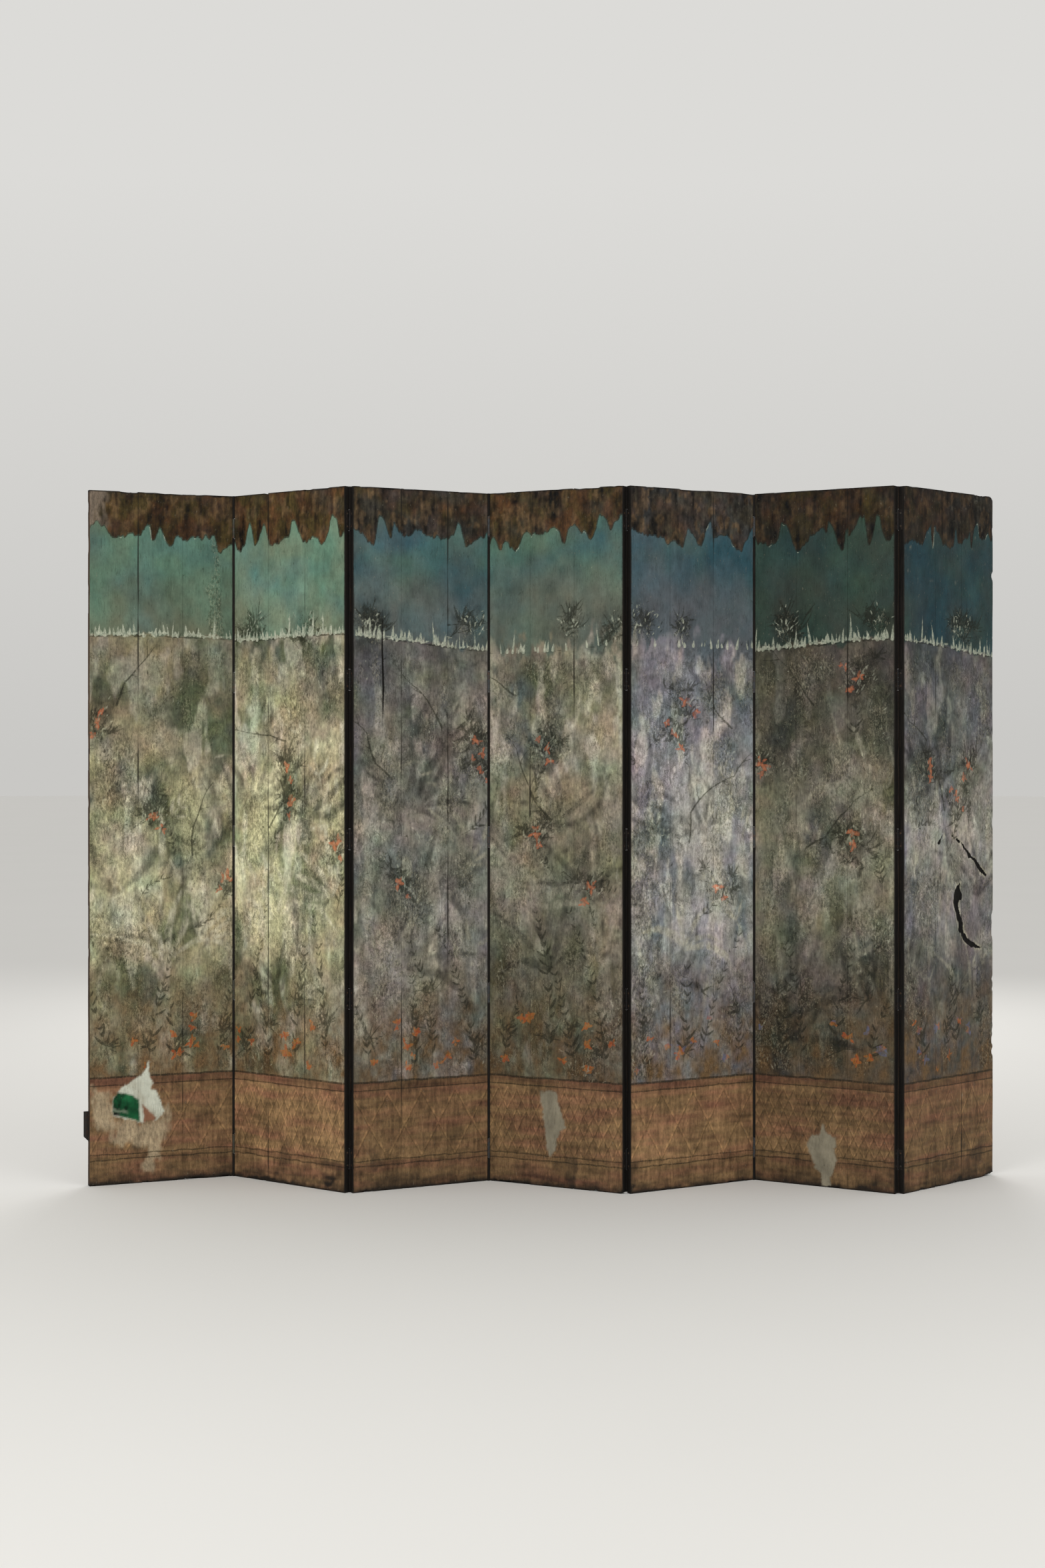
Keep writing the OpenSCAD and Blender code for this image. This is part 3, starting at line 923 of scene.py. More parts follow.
# Where the paint has gone, by panel, and the first panel's torn patch with the rubbed ground round it
LOSSES = {
    0: ((72, 256), (85, 285), (120, 305), (160, 328), (181, 368), (186, 320), (193, 284), (220, 246),
        (230, 214), (208, 188), (156, 183), (110, 198), (72, 210)),
    3: ((170, 286), (234, 290), (238, 250), (250, 215), (262, 182), (240, 166), (228, 150), (222, 110),
        (206, 92), (197, 120), (192, 170), (184, 215)),
    5: ((224, 196), (236, 160), (262, 150), (257, 110), (268, 82), (250, 44), (246, 4), (220, 4),
        (215, 40), (196, 58), (184, 95), (170, 120), (180, 152), (208, 158)),
}
GREEN_PATCH = ((72, 256), (84, 280), (114, 274), (150, 254), (157, 184), (114, 200), (72, 212))
MAUVE_PATCH = ((163, 238), (206, 196), (192, 180), (166, 184))
CREAM = ((6, 302), (66, 290), (78, 196), (206, 192), (236, 230), (248, 160), (226, 108), (206, 64),
         (196, 34), (172, 34), (160, 84), (126, 108), (78, 126), (60, 166), (30, 176), (6, 200))

# The last panel's gash and cracks, with their radii from end to end
GASH = ((277, 908), (263, 882), (258, 850), (267, 820), (279, 790), (290, 754), (308, 735), (342, 720),
        (382, 708))
SPLIT = ((239, 1056), (293, 1028), (323, 997), (360, 974), (384, 947), (412, 931))
NICK = ((193, 1060), (172, 1036))
CRACKS = (
    (GASH, (5, 15, 13, 9, 10, 10, 9, 8, 4)),
    (SPLIT, (2.5, 5.0, 6.0, 5.0, 5.5, 3.5)),
    (NICK, (3.4, 2.4)),
    (stem((272, 896), 150, 34, 20, 4), (6, 10, 5)),
)

# A drying crack in the third panel, and a pale streak in the first one's sky
CHECK_PANEL = 2
CHECK = ((97, 1736), (95, 1620), (99, 1500), (96, 1380))
STREAK_X = 392.0


def paint_rubbed(canvas, paint):
    """The first panel's rubbed cream ground round its torn patch, and a pale streak in its sky."""
    noise, layers = canvas.noise, canvas.layers
    cream = outline_distance(canvas, CREAM) + 12 * noise(44, 44) + 5 * noise(9, 30)
    rubbed = RUBBED * (1 + 0.12 * noise(30, 50) + 0.1 * noise(9, 40))[..., None]
    for layer in ("chalk", "groove"):
        layers[layer] = np.maximum(layers[layer], 6 - 0.6 * (cream + 6))
    streak = smooth((26 - np.abs(canvas.x - STREAK_X - 14 * noise(60, 90))) / 14)
    layers["lace"] += 1.4 * streak * smooth((canvas.z - HILL) / 30)
    return blend(paint, rubbed, 0.84 * smooth((8 - cream) / 24))


def paint_loss(canvas, paint):
    """A place where the paint has gone: bare plaster, or the first panel's torn patch."""
    noise, layers = canvas.noise, canvas.layers
    wobble = 3 * noise(26, 26) + 2.0 * noise(7, 7)
    loss = outline_distance(canvas, LOSSES[canvas.panel]) + wobble
    layers["loss"] = np.clip(loss, -FAR, FAR)
    if canvas.panel == 0:
        ground = paint_patch(canvas, wobble)
    else:
        ground = PLASTER * (0.70 + 0.1 * noise(26, 60))[..., None]
    for layer in ("ink", "bloom", "chalk", "groove"):
        layers[layer] = np.maximum(layers[layer], 3 - loss)
    return blend(paint, ground, smooth((3 - loss) / 6))


def paint_cracks(canvas, paint):
    """The last panel's gash and cracks, with flaked rims."""
    noise, layers = canvas.noise, canvas.layers
    for path, radii in CRACKS:
        canvas.stroke("crack", path, radii)
    layers["crack"] += 2.6 * noise(17, 24) + 0.8 * noise(5, 7)
    flake = smooth((9 - layers["crack"]) / 7) * smooth((noise(18, 40) + 0.4) / 0.4)
    return blend(paint, PALE_STONE * 0.9, 0.55 * flake)


def paint_damage(canvas, paint):
    """Every loss and crack of a panel."""
    if canvas.panel == 0:
        paint = paint_rubbed(canvas, paint)
    if canvas.panel in LOSSES:
        paint = paint_loss(canvas, paint)
    if canvas.panel == PANELS - 1:
        paint = paint_cracks(canvas, paint)
    if canvas.panel == CHECK_PANEL:
        canvas.stroke("crack", CHECK, (0.8, 2.2, 2.6, 0.6))
    return paint


def paint_patch(canvas, wobble):
    """The torn patch of the first panel: white ground with a mauve and a green scrap."""
    noise = canvas.noise
    ground = blend(GESSO, PLASTER, 0.1 + 0.3 * noise(30, 50))
    mauve = outline_distance(canvas, MAUVE_PATCH) + 0.5 * wobble
    ground = blend(ground, TAN_RED * 0.9, smooth((3 - mauve) / 6))
    green = outline_distance(canvas, GREEN_PATCH) + 0.5 * wobble
    dim = smooth((112 - canvas.x + 16 * noise(20, 30)) / 40)
    emerald = EMERALD * (1.0 + 0.3 * noise(20, 20) - 0.72 * dim)[..., None]
    sweep = np.abs(canvas.z - 224 + 0.16 * (canvas.x - 90) + 3 * noise(14, 14))
    emerald = blend(emerald, SAGE, 0.6 * smooth((7 - sweep) / 5) * smooth((124 - canvas.x) / 16))
    return blend(ground, emerald, smooth((3 - green) / 6))


def paint_bands(canvas, hill, foot):
    """Field, sky and brown band, one above the other."""
    z, soft = canvas.z, HILL_SOFT[canvas.panel]
    paint = paint_field(canvas)
    edge = z - hill + 0.8 * soft * canvas.noise(30, 60)
    paint = blend(paint, paint_sky(canvas), smooth(0.5 + edge / soft))
    return blend(paint, paint_brown(canvas), smooth((z - foot + 2) / 4))


def draw_all(canvas, hill):
    """Every stroke of the picture. The plants end at the dado, where the trellis starts."""
    draw_fronds(canvas)
    draw_reeds(canvas, hill)
    draw_tall_sprays(canvas)
    draw_clumps(canvas)
    draw_hill_bushes(canvas)
    draw_loose_growth(canvas)
    draw_low_blossoms(canvas)
    draw_pale_strips(canvas)
    for layer in ("ink", "bloom", "frond", "glow"):
        canvas.layers[layer][canvas.z < DADO_TOP - 4] = FAR
    draw_trellis(canvas)


def shade_paint(canvas, paint, foot):
    """Dark fronds, the bushes' shadows, and pale fronds that fade towards the foot."""
    noise, layers, z = canvas.noise, canvas.layers, canvas.z
    frond = smooth((5 - layers["frond"]) / 10) * (0.6 + 0.3 * noise(20, 40))
    shadow = np.clip(layers["shadow"], 0, 1.2) * (0.7 + 0.35 * noise(16, 20))
    paint = paint * (1 - 0.62 * np.clip(frond, 0, 1))[..., None]
    paint = paint * (1 - 0.48 * np.clip(shadow, 0, 1) * (z < foot))[..., None]
    glow = smooth((3 - layers["glow"]) / 7) * (0.5 + 0.4 * noise(14, 30)) * smooth((z - 460) / 300)
    return blend(paint, PALE_STONE * LIGHTNESS[canvas.panel] * 0.95, 0.62 * glow)


def make_picture(panel):
    """The canvas of a panel with every layer painted."""
    canvas = Canvas(panel)
    noise, layers, z = canvas.noise, canvas.layers, canvas.z
    hill = hill_height(canvas)
    foot = paint_fringe(canvas)
    paint = paint_bands(canvas, hill, foot)
    draw_all(canvas, hill)
    paint = shade_paint(canvas, paint, foot)
    paint = blend(paint, paint_dado(canvas), smooth((DADO_TOP - z + 2) / 4))
    paint = paint_damage(canvas, paint)
    above = smooth((z - DADO_TOP) / 20)
    in_field = above * smooth((hill - 20 - z) / 40)
    lace = layers["lace"] * above * smooth((foot - z) / 20)
    layers["stipple"] = np.clip((0.15 + 0.6 * noise(50, 100)) * in_field + 0.8 * lace, 0, 1)
    layers["scribble"] = np.clip((0.35 + 0.6 * noise(70, 130)) * in_field, 0, 1)
    in_sky = 0.62 + 0.3 * SKY_LIGHTNESS[panel]
    whiteness = np.select([z < DADO_TOP, z < hill - 10, z < foot], [0.0, 0.3, in_sky], 0.5)
    layers["paint"] = np.concatenate([np.clip(paint, 0.002, 1), whiteness[..., None]], -1)
    relief = 0.22 + 0.14 * noise(5, 160, 2) + 0.12 * noise(60, 240)
    dents = 0.5 * smooth((1 - layers["loss"]) / 3) + 3.2 * smooth((1.5 - layers["crack"]) / 4)
    layers["relief"] = relief + dents
    return canvas


# Meshes of the boards


def nibbles(panel, z):
    """How far the last panel's free edge is worn away at a height, and the first one's a little."""
    rng = np.random.default_rng(PICTURE_SEED + 100 + panel)
    rough = value_noise(z * 0, z, 9, 300, rng, 6)
    bites = np.clip(value_noise(z * 0, z, 9, 64, rng, 3) - 0.8, 0, 1)
    if panel == PANELS - 1:
        return np.clip(0.9 + 0.9 * rough + 11 * bites, 0, 7)
    return np.clip(0.3 + 0.4 * rough + 2 * bites, 0, 1.6)


CORNER_R = 20.0
NIBBLE_REACH = 26.0
FOOT_WORN = 9.0
FOOT_REACH = 34.0
WEAR_REACH = 60.0


def worn(panel, x, y, z):
    """Moves points of a board for wear: nibbled free edges, ragged foot and top, a broken corner."""
    rng = np.random.default_rng(PICTURE_SEED + 200 + panel)
    foot = np.clip(value_noise(x, x * 0, 42, 9, rng, 4) - 0.35, 0, 1) * 4.5
    top = np.clip(value_noise(x, x * 0, 36, 9, rng, 4) - 0.2, 0, 1) * 3.0
    if panel == PANELS - 1:
        x = x - nibbles(panel, z) * smooth((x - PANEL_W + NIBBLE_REACH) / NIBBLE_REACH)
        into = np.clip(x - (PANEL_W - CORNER_R), 0, CORNER_R * 0.98)
        top = top + CORNER_R - np.sqrt(CORNER_R**2 - into**2)
        foot = foot + FOOT_WORN * smooth((x - PANEL_W + FOOT_REACH) / FOOT_REACH)
    if panel == 0:
        x = x + nibbles(panel, z) * smooth((NIBBLE_REACH - x) / NIBBLE_REACH)
    z = z + foot * np.clip(1 - z / WEAR_REACH, 0, 1)
    z = z - top * np.clip((z - PANEL_H + WEAR_REACH) / WEAR_REACH, 0, 1)
    return x, y, z


def board_rings(panel, board):
    """Coordinates of the board's points, ring by ring, and how many columns of faces are its front."""
    left, right = board_span(panel, board)
    count = round((right - left - 2 * EDGE_CLEAR) / FRONT_STEP)
    face = np.linspace(left + EDGE_CLEAR, right - EDGE_CLEAR, count)
    back = np.linspace(right - EDGE_CLEAR, left + EDGE_CLEAR, max(3, round((right - left) / BACK_STEP)))
    stop = PANEL_W - HOUSING_STOP
    if left < stop < right:
        back = np.sort(np.append(back, (stop - 5 * PAIR, stop + 5 * PAIR)))[::-1]
    sections = {}
    for zone, at_cleat in {(ring[1], ring[4]) for ring in RINGS}:
        right_edge, left_edge = (board_edge(panel, board, side, int(zone), at_cleat) for side in (1, 0))
        points = [(x, 0.0) for x in face] + [(right + out, y) for out, y in right_edge]
        points += [(x, BOARD_T) for x in back] + [(left - out, y) for out, y in reversed(left_edge)]
        sections[zone, at_cleat] = np.array(points)
    x, y = np.moveaxis(np.array([sections[ring[1], ring[4]] for ring in RINGS]), -1, 0)
    z = np.repeat(RINGS[:, :1], x.shape[1], 1)
    housed, lip, inset = RINGS[:, 2:3], RINGS[:, 3:4], RINGS[:, 5:6]
    floor_y = BOARD_T - HOUSING_D
    in_reach = x < stop
    z = z + lip * HOUSING_FLARE * np.clip((y - floor_y) / HOUSING_D, 0, 1) * in_reach
    y = np.where((housed > 0) & in_reach, np.minimum(y, floor_y), y)
    y = np.clip(y, inset - BEAD_ROOM, BOARD_T + BEAD_ROOM - inset)
    y = np.where((y > -0.5) & (y < BOARD_T + 0.5), np.clip(y, inset, BOARD_T - inset), y)
    return x, y, z, count


def rim_distance(panel, x, z):
    """Distance to the nearest end or fold of the panel. A free edge is rubbed, so it isn't one."""
    left = x + FAR * (panel == 0)
    right = PANEL_W - x + FAR * (panel == PANELS - 1)
    return np.minimum(np.minimum(left, right), np.minimum(z, PANEL_H - z))


def joint_distance(panel, x):
    """Distance to the nearest joint between two boards."""
    first = LEFT_BOARD_W[panel]
    return np.minimum(np.abs(x - first), np.abs(x - first - MIDDLE_BOARD_W[panel]))


FACE_SHARE = 0.78
FACE_STRIPS = 4
MAP_MARGIN = 0.004


def bake_places(quads, rings, points, face_columns, z):
    """Places in the OFBake map: the face in strips side by side, the rest along the foot."""
    ring, column = quads // points, quads % points
    first_column = column[:, :1]
    wraps = (first_column == points - 1) & (column == 0)
    column = np.where(wraps, points, column)
    u_face = (column + 1) / (face_columns + 1)
    u_face = np.where(column == points, 0, u_face)
    on_face = (first_column < face_columns) | (first_column == points - 1)
    height = np.clip(z.reshape(rings, points)[ring, 0] / PANEL_H, 0, 1)
    strip = np.clip((height.mean(1, keepdims=True) * FACE_STRIPS).astype(int), 0, FACE_STRIPS - 1)
    in_strip = height * FACE_STRIPS - strip
    span = 1 / FACE_STRIPS - 2 * MAP_MARGIN
    face_u = strip / FACE_STRIPS + MAP_MARGIN + u_face * span
    face_v = 1 - FACE_SHARE + MAP_MARGIN + np.clip(in_strip, 0, 1) * (FACE_SHARE - 2 * MAP_MARGIN)
    rest_v = (column - face_columns) / (points - face_columns) * (1 - FACE_SHARE - 2 * MAP_MARGIN)
    return np.stack([np.where(on_face, face_u, height), np.where(on_face, face_v, rest_v)], -1)


def add_layer(mesh, name, kind, values):
    field = {"FLOAT": "value", "FLOAT_VECTOR": "vector", "FLOAT_COLOR": "color"}[kind]
    layer = mesh.attributes.new(name, kind, "POINT")
    layer.data.foreach_set(field, np.ascontiguousarray(values, np.float32).ravel())


def board_mesh(name, co, points, painted, materials):
    """A mesh swept from rings of points, closed by a cap at each end. Gives its side faces back too."""
    rings = len(co) // points
    column = np.arange(points)
    start = np.arange(rings - 1)[:, None] * points + column
    after = np.arange(rings - 1)[:, None] * points + (column + 1) % points
    quads = np.stack([start, after, after + points, start + points], -1).reshape(-1, 4)
    corners = np.concatenate([quads.ravel(), column[::-1], (rings - 1) * points + column])
    starts = np.append(np.arange(0, quads.size, 4), (quads.size, quads.size + points))
    bare = np.append(~painted[quads[:, 0] % points], (True, True))
    mesh = bpy.data.meshes.new(name)
    mesh.vertices.add(len(co))
    mesh.loops.add(len(corners))
    mesh.polygons.add(len(starts))
    mesh.vertices.foreach_set("co", co.astype(np.float32).ravel())
    mesh.loops.foreach_set("vertex_index", corners.astype(np.int32))
    mesh.polygons.foreach_set("loop_start", starts.astype(np.int32))
    mesh.polygons.foreach_set("material_index", bare.astype(np.int32))
    mesh.update(calc_edges=True)
    mesh.set_sharp_from_angle(angle=math.radians(SHARP))
    for material in materials:
        mesh.materials.append(material)
    return mesh, quads


def make_board(canvas, board, materials):
    """One painted board, swept ring by ring, which stands for its CAD node."""
    panel = canvas.panel
    x, y, z, face_count = board_rings(panel, board)
    rings, points = x.shape
    spot = np.stack([x, y, z], -1)
    ends = 0.002 + 0.001 * spot[[0, -1], :, :2] / PANEL_W
    spot = spot.reshape(-1, 3)
    column = np.arange(points)
    near_end = np.clip(np.minimum(z, PANEL_H - z) / 3, 0, 1)
    relief = np.clip(canvas.sample(canvas.layers["relief"], x, z), 0, 4) * near_end
    wx, wy, wz = worn(panel, x, y + relief * (column < face_count), z)
    place = panel_origin(panel)[:, None, None] + rotated(TURNS[panel], wx, wy)
    co = np.stack([*place, wz], -1).reshape(-1, 3) * MM
    painted = (column < face_count + 2 * (board < 2)) | (column >= points - 1 - 2 * (board > 0))
    name = f"panel_{panel + 1}_{BOARD_NAMES[board]}_board"
    mesh, quads = board_mesh(name + "_painted", co, points, painted, materials)
    add_layer(mesh, "spot", "FLOAT_VECTOR", (spot + (panel * 2 * PANEL_W, 0, 0)) * MM)
    x, z = spot[:, 0], spot[:, 2]
    for layer in ("ink", "bloom", "chalk", "groove", "loss", "crack", "stipple", "scribble"):
        add_layer(mesh, layer, "FLOAT", canvas.sample(canvas.layers[layer], x, z))
    add_layer(mesh, "paint", "FLOAT_COLOR", canvas.sample(canvas.layers["paint"], x, z))
    add_layer(mesh, "rim", "FLOAT", rim_distance(panel, x, z))
    add_layer(mesh, "joint", "FLOAT", joint_distance(panel, x))
    places = bake_places(quads, rings, points, face_count, z)
    uv = mesh.uv_layers.new(name="OFBake")
    uv.data.foreach_set("uv", np.concatenate([places.ravel(), ends.ravel()]).astype(np.float32))
    obj = link(bpy.data.objects.new(name + "_painted", mesh))
    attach(obj, f"panel_{panel + 1}")
    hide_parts(name)


# Materials


def patches(s, tall, scale, detail, rough=0.55, distortion=0.0):
    """Noise whose blobs are drawn out up the boards: the smaller tall is, the longer they are."""
    return s.noise(s.stretch(s.spot, (1, 1, tall)), scale, detail, rough, distortion)


def strokes(s, layer, soft=0.7):
    """Strokes of a layer, their rims frayed."""
    return s.step(s.add(s.attribute(layer), s.fray), soft, -soft)


def ground_paint(s):
    """The paint's own colour, varied by fibres, streaks and clouds, less so in the sky and in losses."""
    tone = s.add(
        s.step(s.fibre, 0.3, 0.7, (-0.15, 0.15)),
        s.step(s.streak, 0.3, 0.7, (-0.09, 0.09)),
        s.step(s.mottle, 0.28, 0.72, (-0.30, 0.30)),
        s.step(s.clouds, 0.3, 0.7, (-0.16, 0.16)),
    )
    in_sky = s.step(s.whiteness, 0.52, 0.62, (1.0, 0.36))
    calm = s.times(in_sky, s.step(s.whiteness, 0.0, 0.4, (0.85, 1.0)))
    tone = s.math("MULTIPLY_ADD", s.times(tone, calm), s.step(s.loss, 0, 1, (1.0, 0.35)), 1.0)
    return s.mix(1.0, s.paint, s.node("CombineColor", tone, tone, tone).outputs[0], "MULTIPLY")


def add_scribbles(s, colour):
    """Thin wandering lines, dark ones and pale ones."""
    wander = s.math("SUBTRACT", patches(s, 0.5, 46, 6, 0.68, 0.8), 0.5)
    scribble = s.attribute("scribble")
    for level, line, share in ((0.0, s.shade, 0.7), (0.075, s.lit, 0.5), (-0.085, s.shade, 0.5)):
        rim = s.math("ABSOLUTE", s.math("SUBTRACT", wander, level))
        thin = s.math("SUBTRACT", rim, s.times(scribble, 0.02))
        lines = s.times(s.step(thin, 0.008, -0.006), s.step(scribble, 0.02, 0.25))
        colour = s.mix(s.times(lines, share), colour, line)
    return colour


def add_flecks(s, colour):
    """Fine pale dabs and dark dots, thicker where the stipple layer is strong."""
    stipple = s.times(s.attribute("stipple"), 0.15)
    dabs = s.step(s.add(patches(s, 0.55, 225, 4, 0.66, 0.6), stipple), 0.66, 0.72)
    pale = s.mix(0.5, s.tint(colour, 1.8, 1.75, 1.65), linear("8f8973"))
    colour = s.mix(s.times(dabs, 0.6), colour, pale)
    aside = s.node("VectorMath", s.spot, (0.31, 0.17, 0.43)).outputs[0]
    dots = s.step(s.add(s.noise(s.stretch(aside, (1, 1, 0.5)), 170, 4, 0.66), stipple), 0.64, 0.70)
    return s.mix(s.times(dots, 0.6), colour, s.shade)


def petal_paint(s):
    """Coral blossoms, ochre and rust ones near the foot, and some violet ones on the last panels."""
    across, _, height = s.node("SeparateXYZ", s.spot).outputs
    low = s.tones(s.clouds, 0.42, 0.58, "c07a2c", "a4512a")
    late = s.step(across, 7.6 * PANEL_W * MM, 8.0 * PANEL_W * MM)
    violet = s.times(s.step(s.noise(s.spot, 11, 2), 0.47, 0.53), late)
    low = s.mix(violet, low, linear("626880"))
    inward = s.step(s.add(s.attribute("bloom"), s.times(s.streak, 3.0)), 2.0, -2.0)
    petals = s.mix(s.step(height, 0.50, 0.62), low, s.mix(inward, linear("a0543a"), linear("cb8058")))
    return s.mix(0.35, petals, s.mix(1.0, petals, s.tint(s.paint, 4.0, 3.4, 4.6), "MULTIPLY"))


def add_drawing(s, colour):
    """Ink, blossoms, chalk and grooves, each thin or gone where the paint hasn't held."""
    held = s.step(patches(s, 0.4, 190, 4, 0.7), 0.38, 0.5)
    ink = s.times(strokes(s, "ink"), s.step(held, 0, 1, (0.45, 1.0)))
    colour = s.mix(s.times(ink, 0.85), colour, s.mix(0.5, s.shade, INK * 0.6))
    bloom = s.times(strokes(s, "bloom", 0.8), s.step(held, 0, 1, (0.3, 0.95)))
    colour = s.mix(s.times(bloom, s.step(s.clouds, 0.4, 0.55, (0.4, 0.8))), colour, petal_paint(s))
    height = s.node("SeparateXYZ", s.spot).outputs[2]
    on_dado = s.step(height, (DADO_TOP + 2) * MM, (DADO_TOP - 2) * MM)
    faded = s.step(on_dado, 0, 1, (1.0, s.step(s.clouds, 0.42, 0.56, (0.25, 0.75))))
    chalk = s.times(strokes(s, "chalk"), s.step(held, 0, 1, (0.3, 0.9)))
    bright = s.tones(s.mottle, 0.35, 0.65, "8e9683", "c2c3ae")
    colour = s.mix(s.times(chalk, faded), colour, s.mix(s.whiteness, s.lit, bright))
    return s.mix(s.times(s.times(strokes(s, "groove"), held), 0.5), colour, s.shade)


def add_wear(s, colour):
    """Flaking, pits, fine crackle, dark rims that are painted shade at the folds, board joints and
    near-black cracks. Gives the relief back too.
    """
    sound = s.math("SUBTRACT", 1.0, s.loss)
    flaked = s.step(patches(s, 0.33, 150, 7, 0.74), 0.60, 0.655)
    colour = s.mix(s.times(s.times(flaked, sound), 0.45), colour, s.mix(0.4, colour, linear("b5ad96")))
    pits = s.step(s.noise(s.stretch(s.spot, (1.3, 1, 0.3)), 230, 6, 0.72), 0.40, 0.345)
    colour = s.mix(s.times(s.times(pits, sound), 0.5), colour, s.shade)
    cells = s.node("TexVoronoi", s.stretch(s.spot, (1, 1, 0.07)), feature="DISTANCE_TO_EDGE", Scale=190)
    crackle = s.times(s.step(cells.outputs["Distance"], 0.03, 0.0), s.step(s.noise(s.spot, 26), 0.48, 0.6))
    colour = s.mix(s.times(crackle, 0.5), colour, s.shade)
    # Dark rims along the ends and folds: grime at the ends and painted shade at the folds; free edges are
    # left out
    rim_grime_and_shade = s.add(s.attribute("rim"), s.times(s.streak, -5.0), s.times(s.mottle, -6.0))
    colour = s.mix(s.step(rim_grime_and_shade, 0.5, -5.0, (0.0, 0.9)), colour, linear("16120d"))
    open_joint = s.step(s.noise(s.stretch(s.spot, (0.6, 1, 0.05)), 60, 2), 0.50, 0.66)
    seam = s.step(s.math("MULTIPLY_ADD", open_joint, -1.7, s.attribute("joint")), 1.1, 0.1)
    colour = s.mix(s.times(seam, s.step(open_joint, 0.0, 1.0, (0.28, 0.85))), colour, linear("17140f"))
    # Cracks and the gash turn near black: dark old wood, and painted shade of a depth that the mesh only
    # dents
    crack = s.step(s.add(s.attribute("crack"), s.fray), 1.0, -0.4)
    colour = s.mix(crack, colour, linear("0b0907"))
    parts = (s.fibre, s.mottle, crackle, flaked, pits, crack, s.loss)
    weights = (0.35, 0.4, -0.4, -0.25, -0.3, -1.0, -0.6)
    return colour, s.add(*map(s.times, parts, weights))


def painted_material():
    """Old distemper on boards: the painting's layers, broken up by grain, flaking and dirt, with painted
    shade at the folds and in the cracks.
    """
    s = Shader("painted_boards")
    s.spot = s.attribute("spot", "Vector")
    s.paint = s.attribute("paint", "Color")
    s.whiteness = s.attribute("paint", "Alpha")
    s.fibre = patches(s, 0.09, 420, 4, 0.6)
    s.streak = patches(s, 0.09, 105, 3, 0.6)
    s.mottle = patches(s, 0.55, 125, 5, 0.68)
    s.clouds = s.noise(s.spot, 44, 4, 0.62)
    speck = s.noise(s.spot, 520, 2, 0.5)
    s.fray = s.math("MULTIPLY_ADD", speck, 3.2, -1.6)
    s.loss = s.step(s.add(s.attribute("loss"), s.times(speck, 1.6), -0.8), 0.6, -0.6)
    colour = ground_paint(s)
    s.shade = s.tint(colour, 0.34, 0.35, 0.30)
    s.lit = s.tint(colour, 1.6, 1.58, 1.5)
    for add in (add_scribbles, add_flecks, add_drawing):
        colour = add(s, colour)
    colour, relief = add_wear(s, colour)
    rough = s.add(s.step(s.mottle, 0.3, 0.7, (0.5, 0.78)), s.times(s.loss, 0.15))
    return s.finish(colour, rough, relief, 0.0009, specular=0.12)


# Depth in a board, in metres, where the edges' near black, which at the folds is painted shade, turns into
# the back's brown
BACK_FROM = (0.0205, 0.0218)


def bare_material():
    """Old wood of the edges, ends and backs: near black at the ends and folds, which at the folds is
    painted shade, and brown on the back.
    """
    s = Shader("bare_boards")
    spot = s.attribute("spot", "Vector")
    depth = s.node("SeparateXYZ", spot).outputs[1]
    along = s.stretch(spot, (1, 1, 0.05))
    grain = s.noise(along, 260, 5, 0.62)
    broad = s.noise(s.stretch(spot, (1, 1, 0.1)), 24, 3, 0.6)
    stain = s.noise(spot, 9, 4, 0.6)
    brown = s.tones(broad, 0.35, 0.65, "4f3d2c", "6a5540")
    brown = s.mix(s.step(grain, 0.42, 0.62), s.tint(brown, 0.55, 0.52, 0.5), brown)
    brown = s.mix(s.step(stain, 0.5, 0.75, (0, 0.25)), brown, linear("7a7264"))
    # Near black: dark old wood at the ends, and at the folds painted shade for the shade deep in each
    # fold, the bead's too
    edge = s.tones(grain, 0.4, 0.65, "0c0a08", "1a1510")
    free = s.step(s.attribute("rim"), 3.0, 9.0)
    edge = s.mix(free, edge, s.mix(0.8, brown, (0.6, 0.58, 0.55, 1), "MULTIPLY"))
    colour = s.mix(s.step(depth, *BACK_FROM), edge, brown)
    rough = s.step(grain, 0.3, 0.7, (0.9, 0.7))
    return s.finish(colour, rough, grain, 0.0006, specular=0.2)


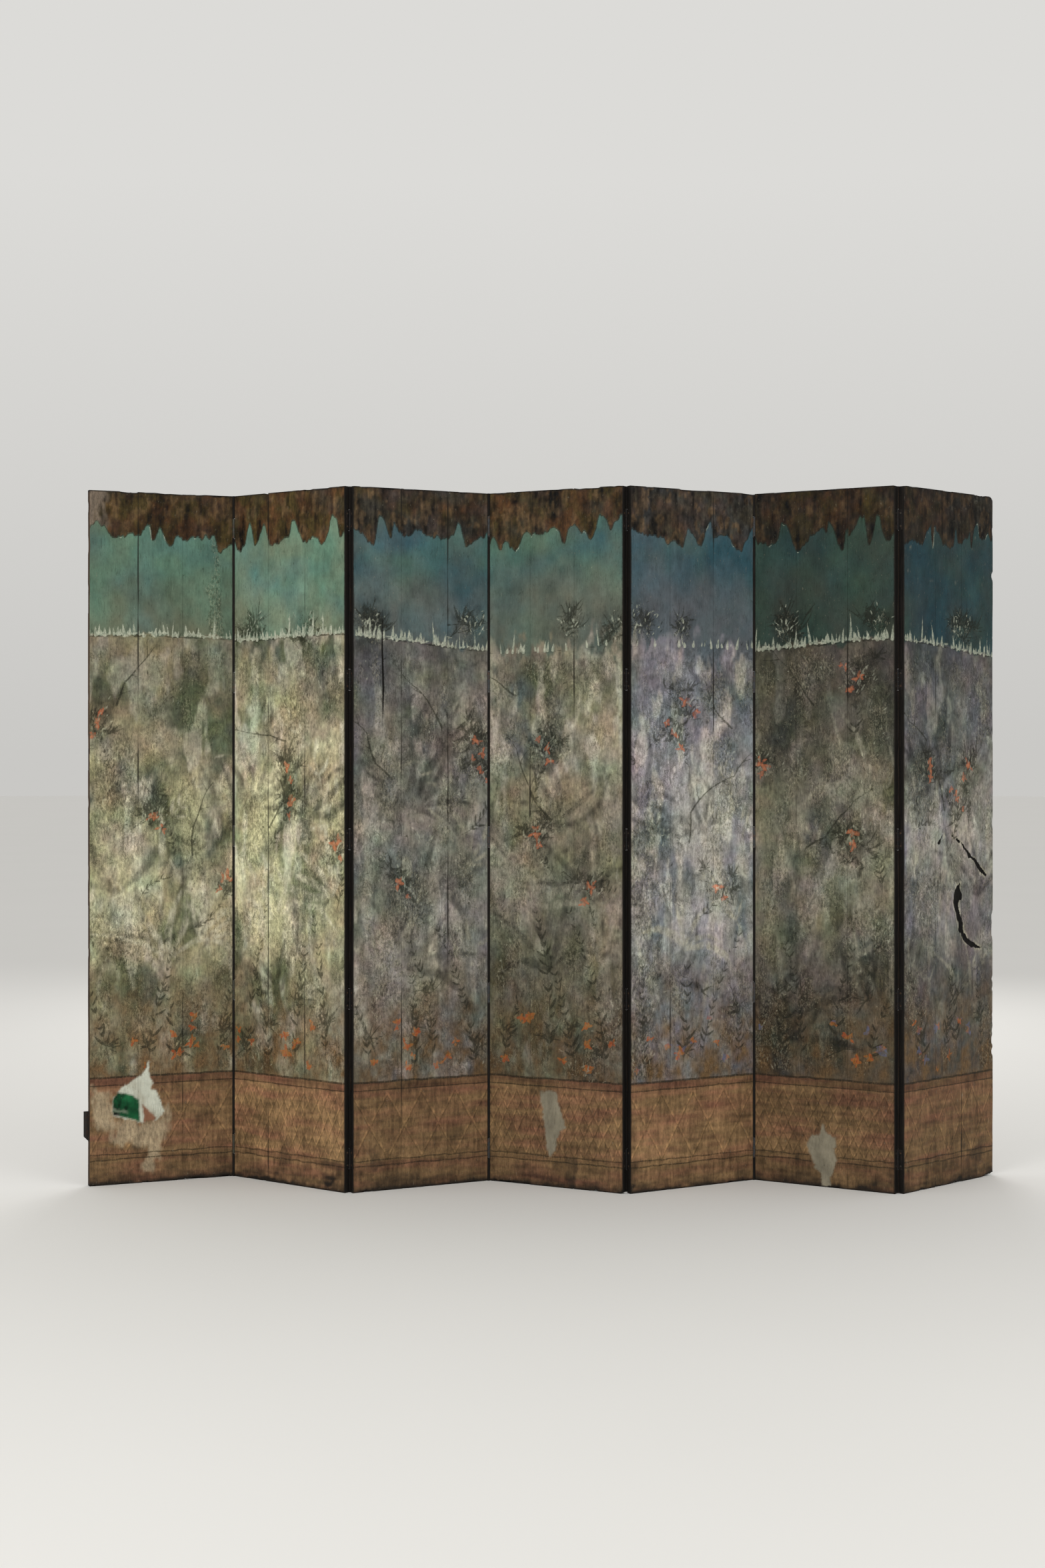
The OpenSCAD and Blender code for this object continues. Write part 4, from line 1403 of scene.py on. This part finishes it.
def batten_material(panel):
    """Batten wood, its grain along the panel, and near black at its end by the panel's left edge: painted
    shade of the fold.
    """
    s = Shader(f"batten_wood_{panel + 1}")
    place = s.node("TexCoord").outputs["Object"]
    along = s.stretch(s.stretch(place, (1, 1, 1), -math.radians(TURNS[panel])), (0.05, 1, 1))
    grain = s.noise(along, 240, 5, 0.62)
    broad = s.noise(along, 26, 3, 0.6)
    brown = s.tones(broad, 0.35, 0.65, "59452f", "735a40")
    colour = s.mix(s.step(grain, 0.4, 0.62), s.tint(brown, 0.5, 0.47, 0.45), brown)
    across = s.node("SeparateXYZ", s.stretch(place, (1, 1, 1), -math.radians(TURNS[panel]))).outputs[0]
    start = rotated(-TURNS[panel], *panel_origin(panel))[0] * MM
    # Painted shade: the batten's last millimetres by the fold are near black
    colour = s.mix(s.step(across, start + 0.003, start + 0.006), linear("0c0a08"), colour)
    return s.finish(colour, s.step(grain, 0.3, 0.7, (0.85, 0.65)), grain, 0.0006, specular=0.25)


def iron_material(name, dark, rust, share, painted=None):
    """Old iron: a dark skin, rust in clouds, and paint where a hinge was painted over."""
    s = Shader(name)
    place = s.node("TexCoord").outputs["Object"]
    clouds = s.noise(place, 90, 6, 0.65)
    pits = s.noise(place, 700, 3, 0.6)
    colour = s.tones(clouds, share, share + 0.12, rust, dark)
    colour = s.mix(s.step(pits, 0.58, 0.68), colour, linear("0f0d0b"))
    if painted is not None:
        cover = s.step(s.noise(place, 160, 5, 0.7), 0.44, 0.5)
        colour = s.mix(cover, colour, s.mix(s.step(clouds, 0.4, 0.6), painted * 0.7, painted))
    rough = s.step(clouds, 0.35, 0.65, (0.75, 0.5))
    return s.finish(colour, rough, pits, 0.0003, metallic=0.35 if painted is None else 0.1)


def dress_frame():
    """Materials for the CAD nodes that stay: battens, hinges, pins, screws and the cleat."""
    irons = {
        "leaves": iron_material("hinge_iron", "151311", "231a15", 0.42),
        "pins": iron_material("pin_iron", "151312", "241b16", 0.40),
        "screws": iron_material("screw_steel", "4a463f", "4f3826", 0.45),
        "cleat": iron_material("cleat_iron", "211f1d", "3a281c", 0.40),
    }
    for name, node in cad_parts.items():
        kind, number = name.split("_")[-1], name.split("_")[1]
        if kind == "board":
            continue
        index = int(number) - 1 if number.isdigit() else 0
        material = irons.get(kind)
        if kind == "battens":
            material = BATTENS[index]
        elif kind == "leaves" and is_front(index):
            material = PAINTED_IRON[index]
        node.data.materials.clear()
        node.data.materials.append(material)


make_camera()
make_studio()
BATTENS = [batten_material(panel) for panel in range(PANELS)]
# Paint over the hinges of folds 1, 3 and 5, darkened to a third or less: painted shade of the folds
PAINTED_IRON = {
    fold: iron_material(f"painted_iron_{fold + 1}", "2c2823", "4a3222", 0.42, tone)
    for fold, tone in ((0, MOSS * 0.3), (2, SLATE * 0.24), (4, SLATE * 0.28))
}
dress_frame()
faces = (painted_material(), bare_material())
for panel in range(PANELS):
    canvas = make_picture(panel)
    for board in range(len(BOARD_NAMES)):
        make_board(canvas, board, faces)
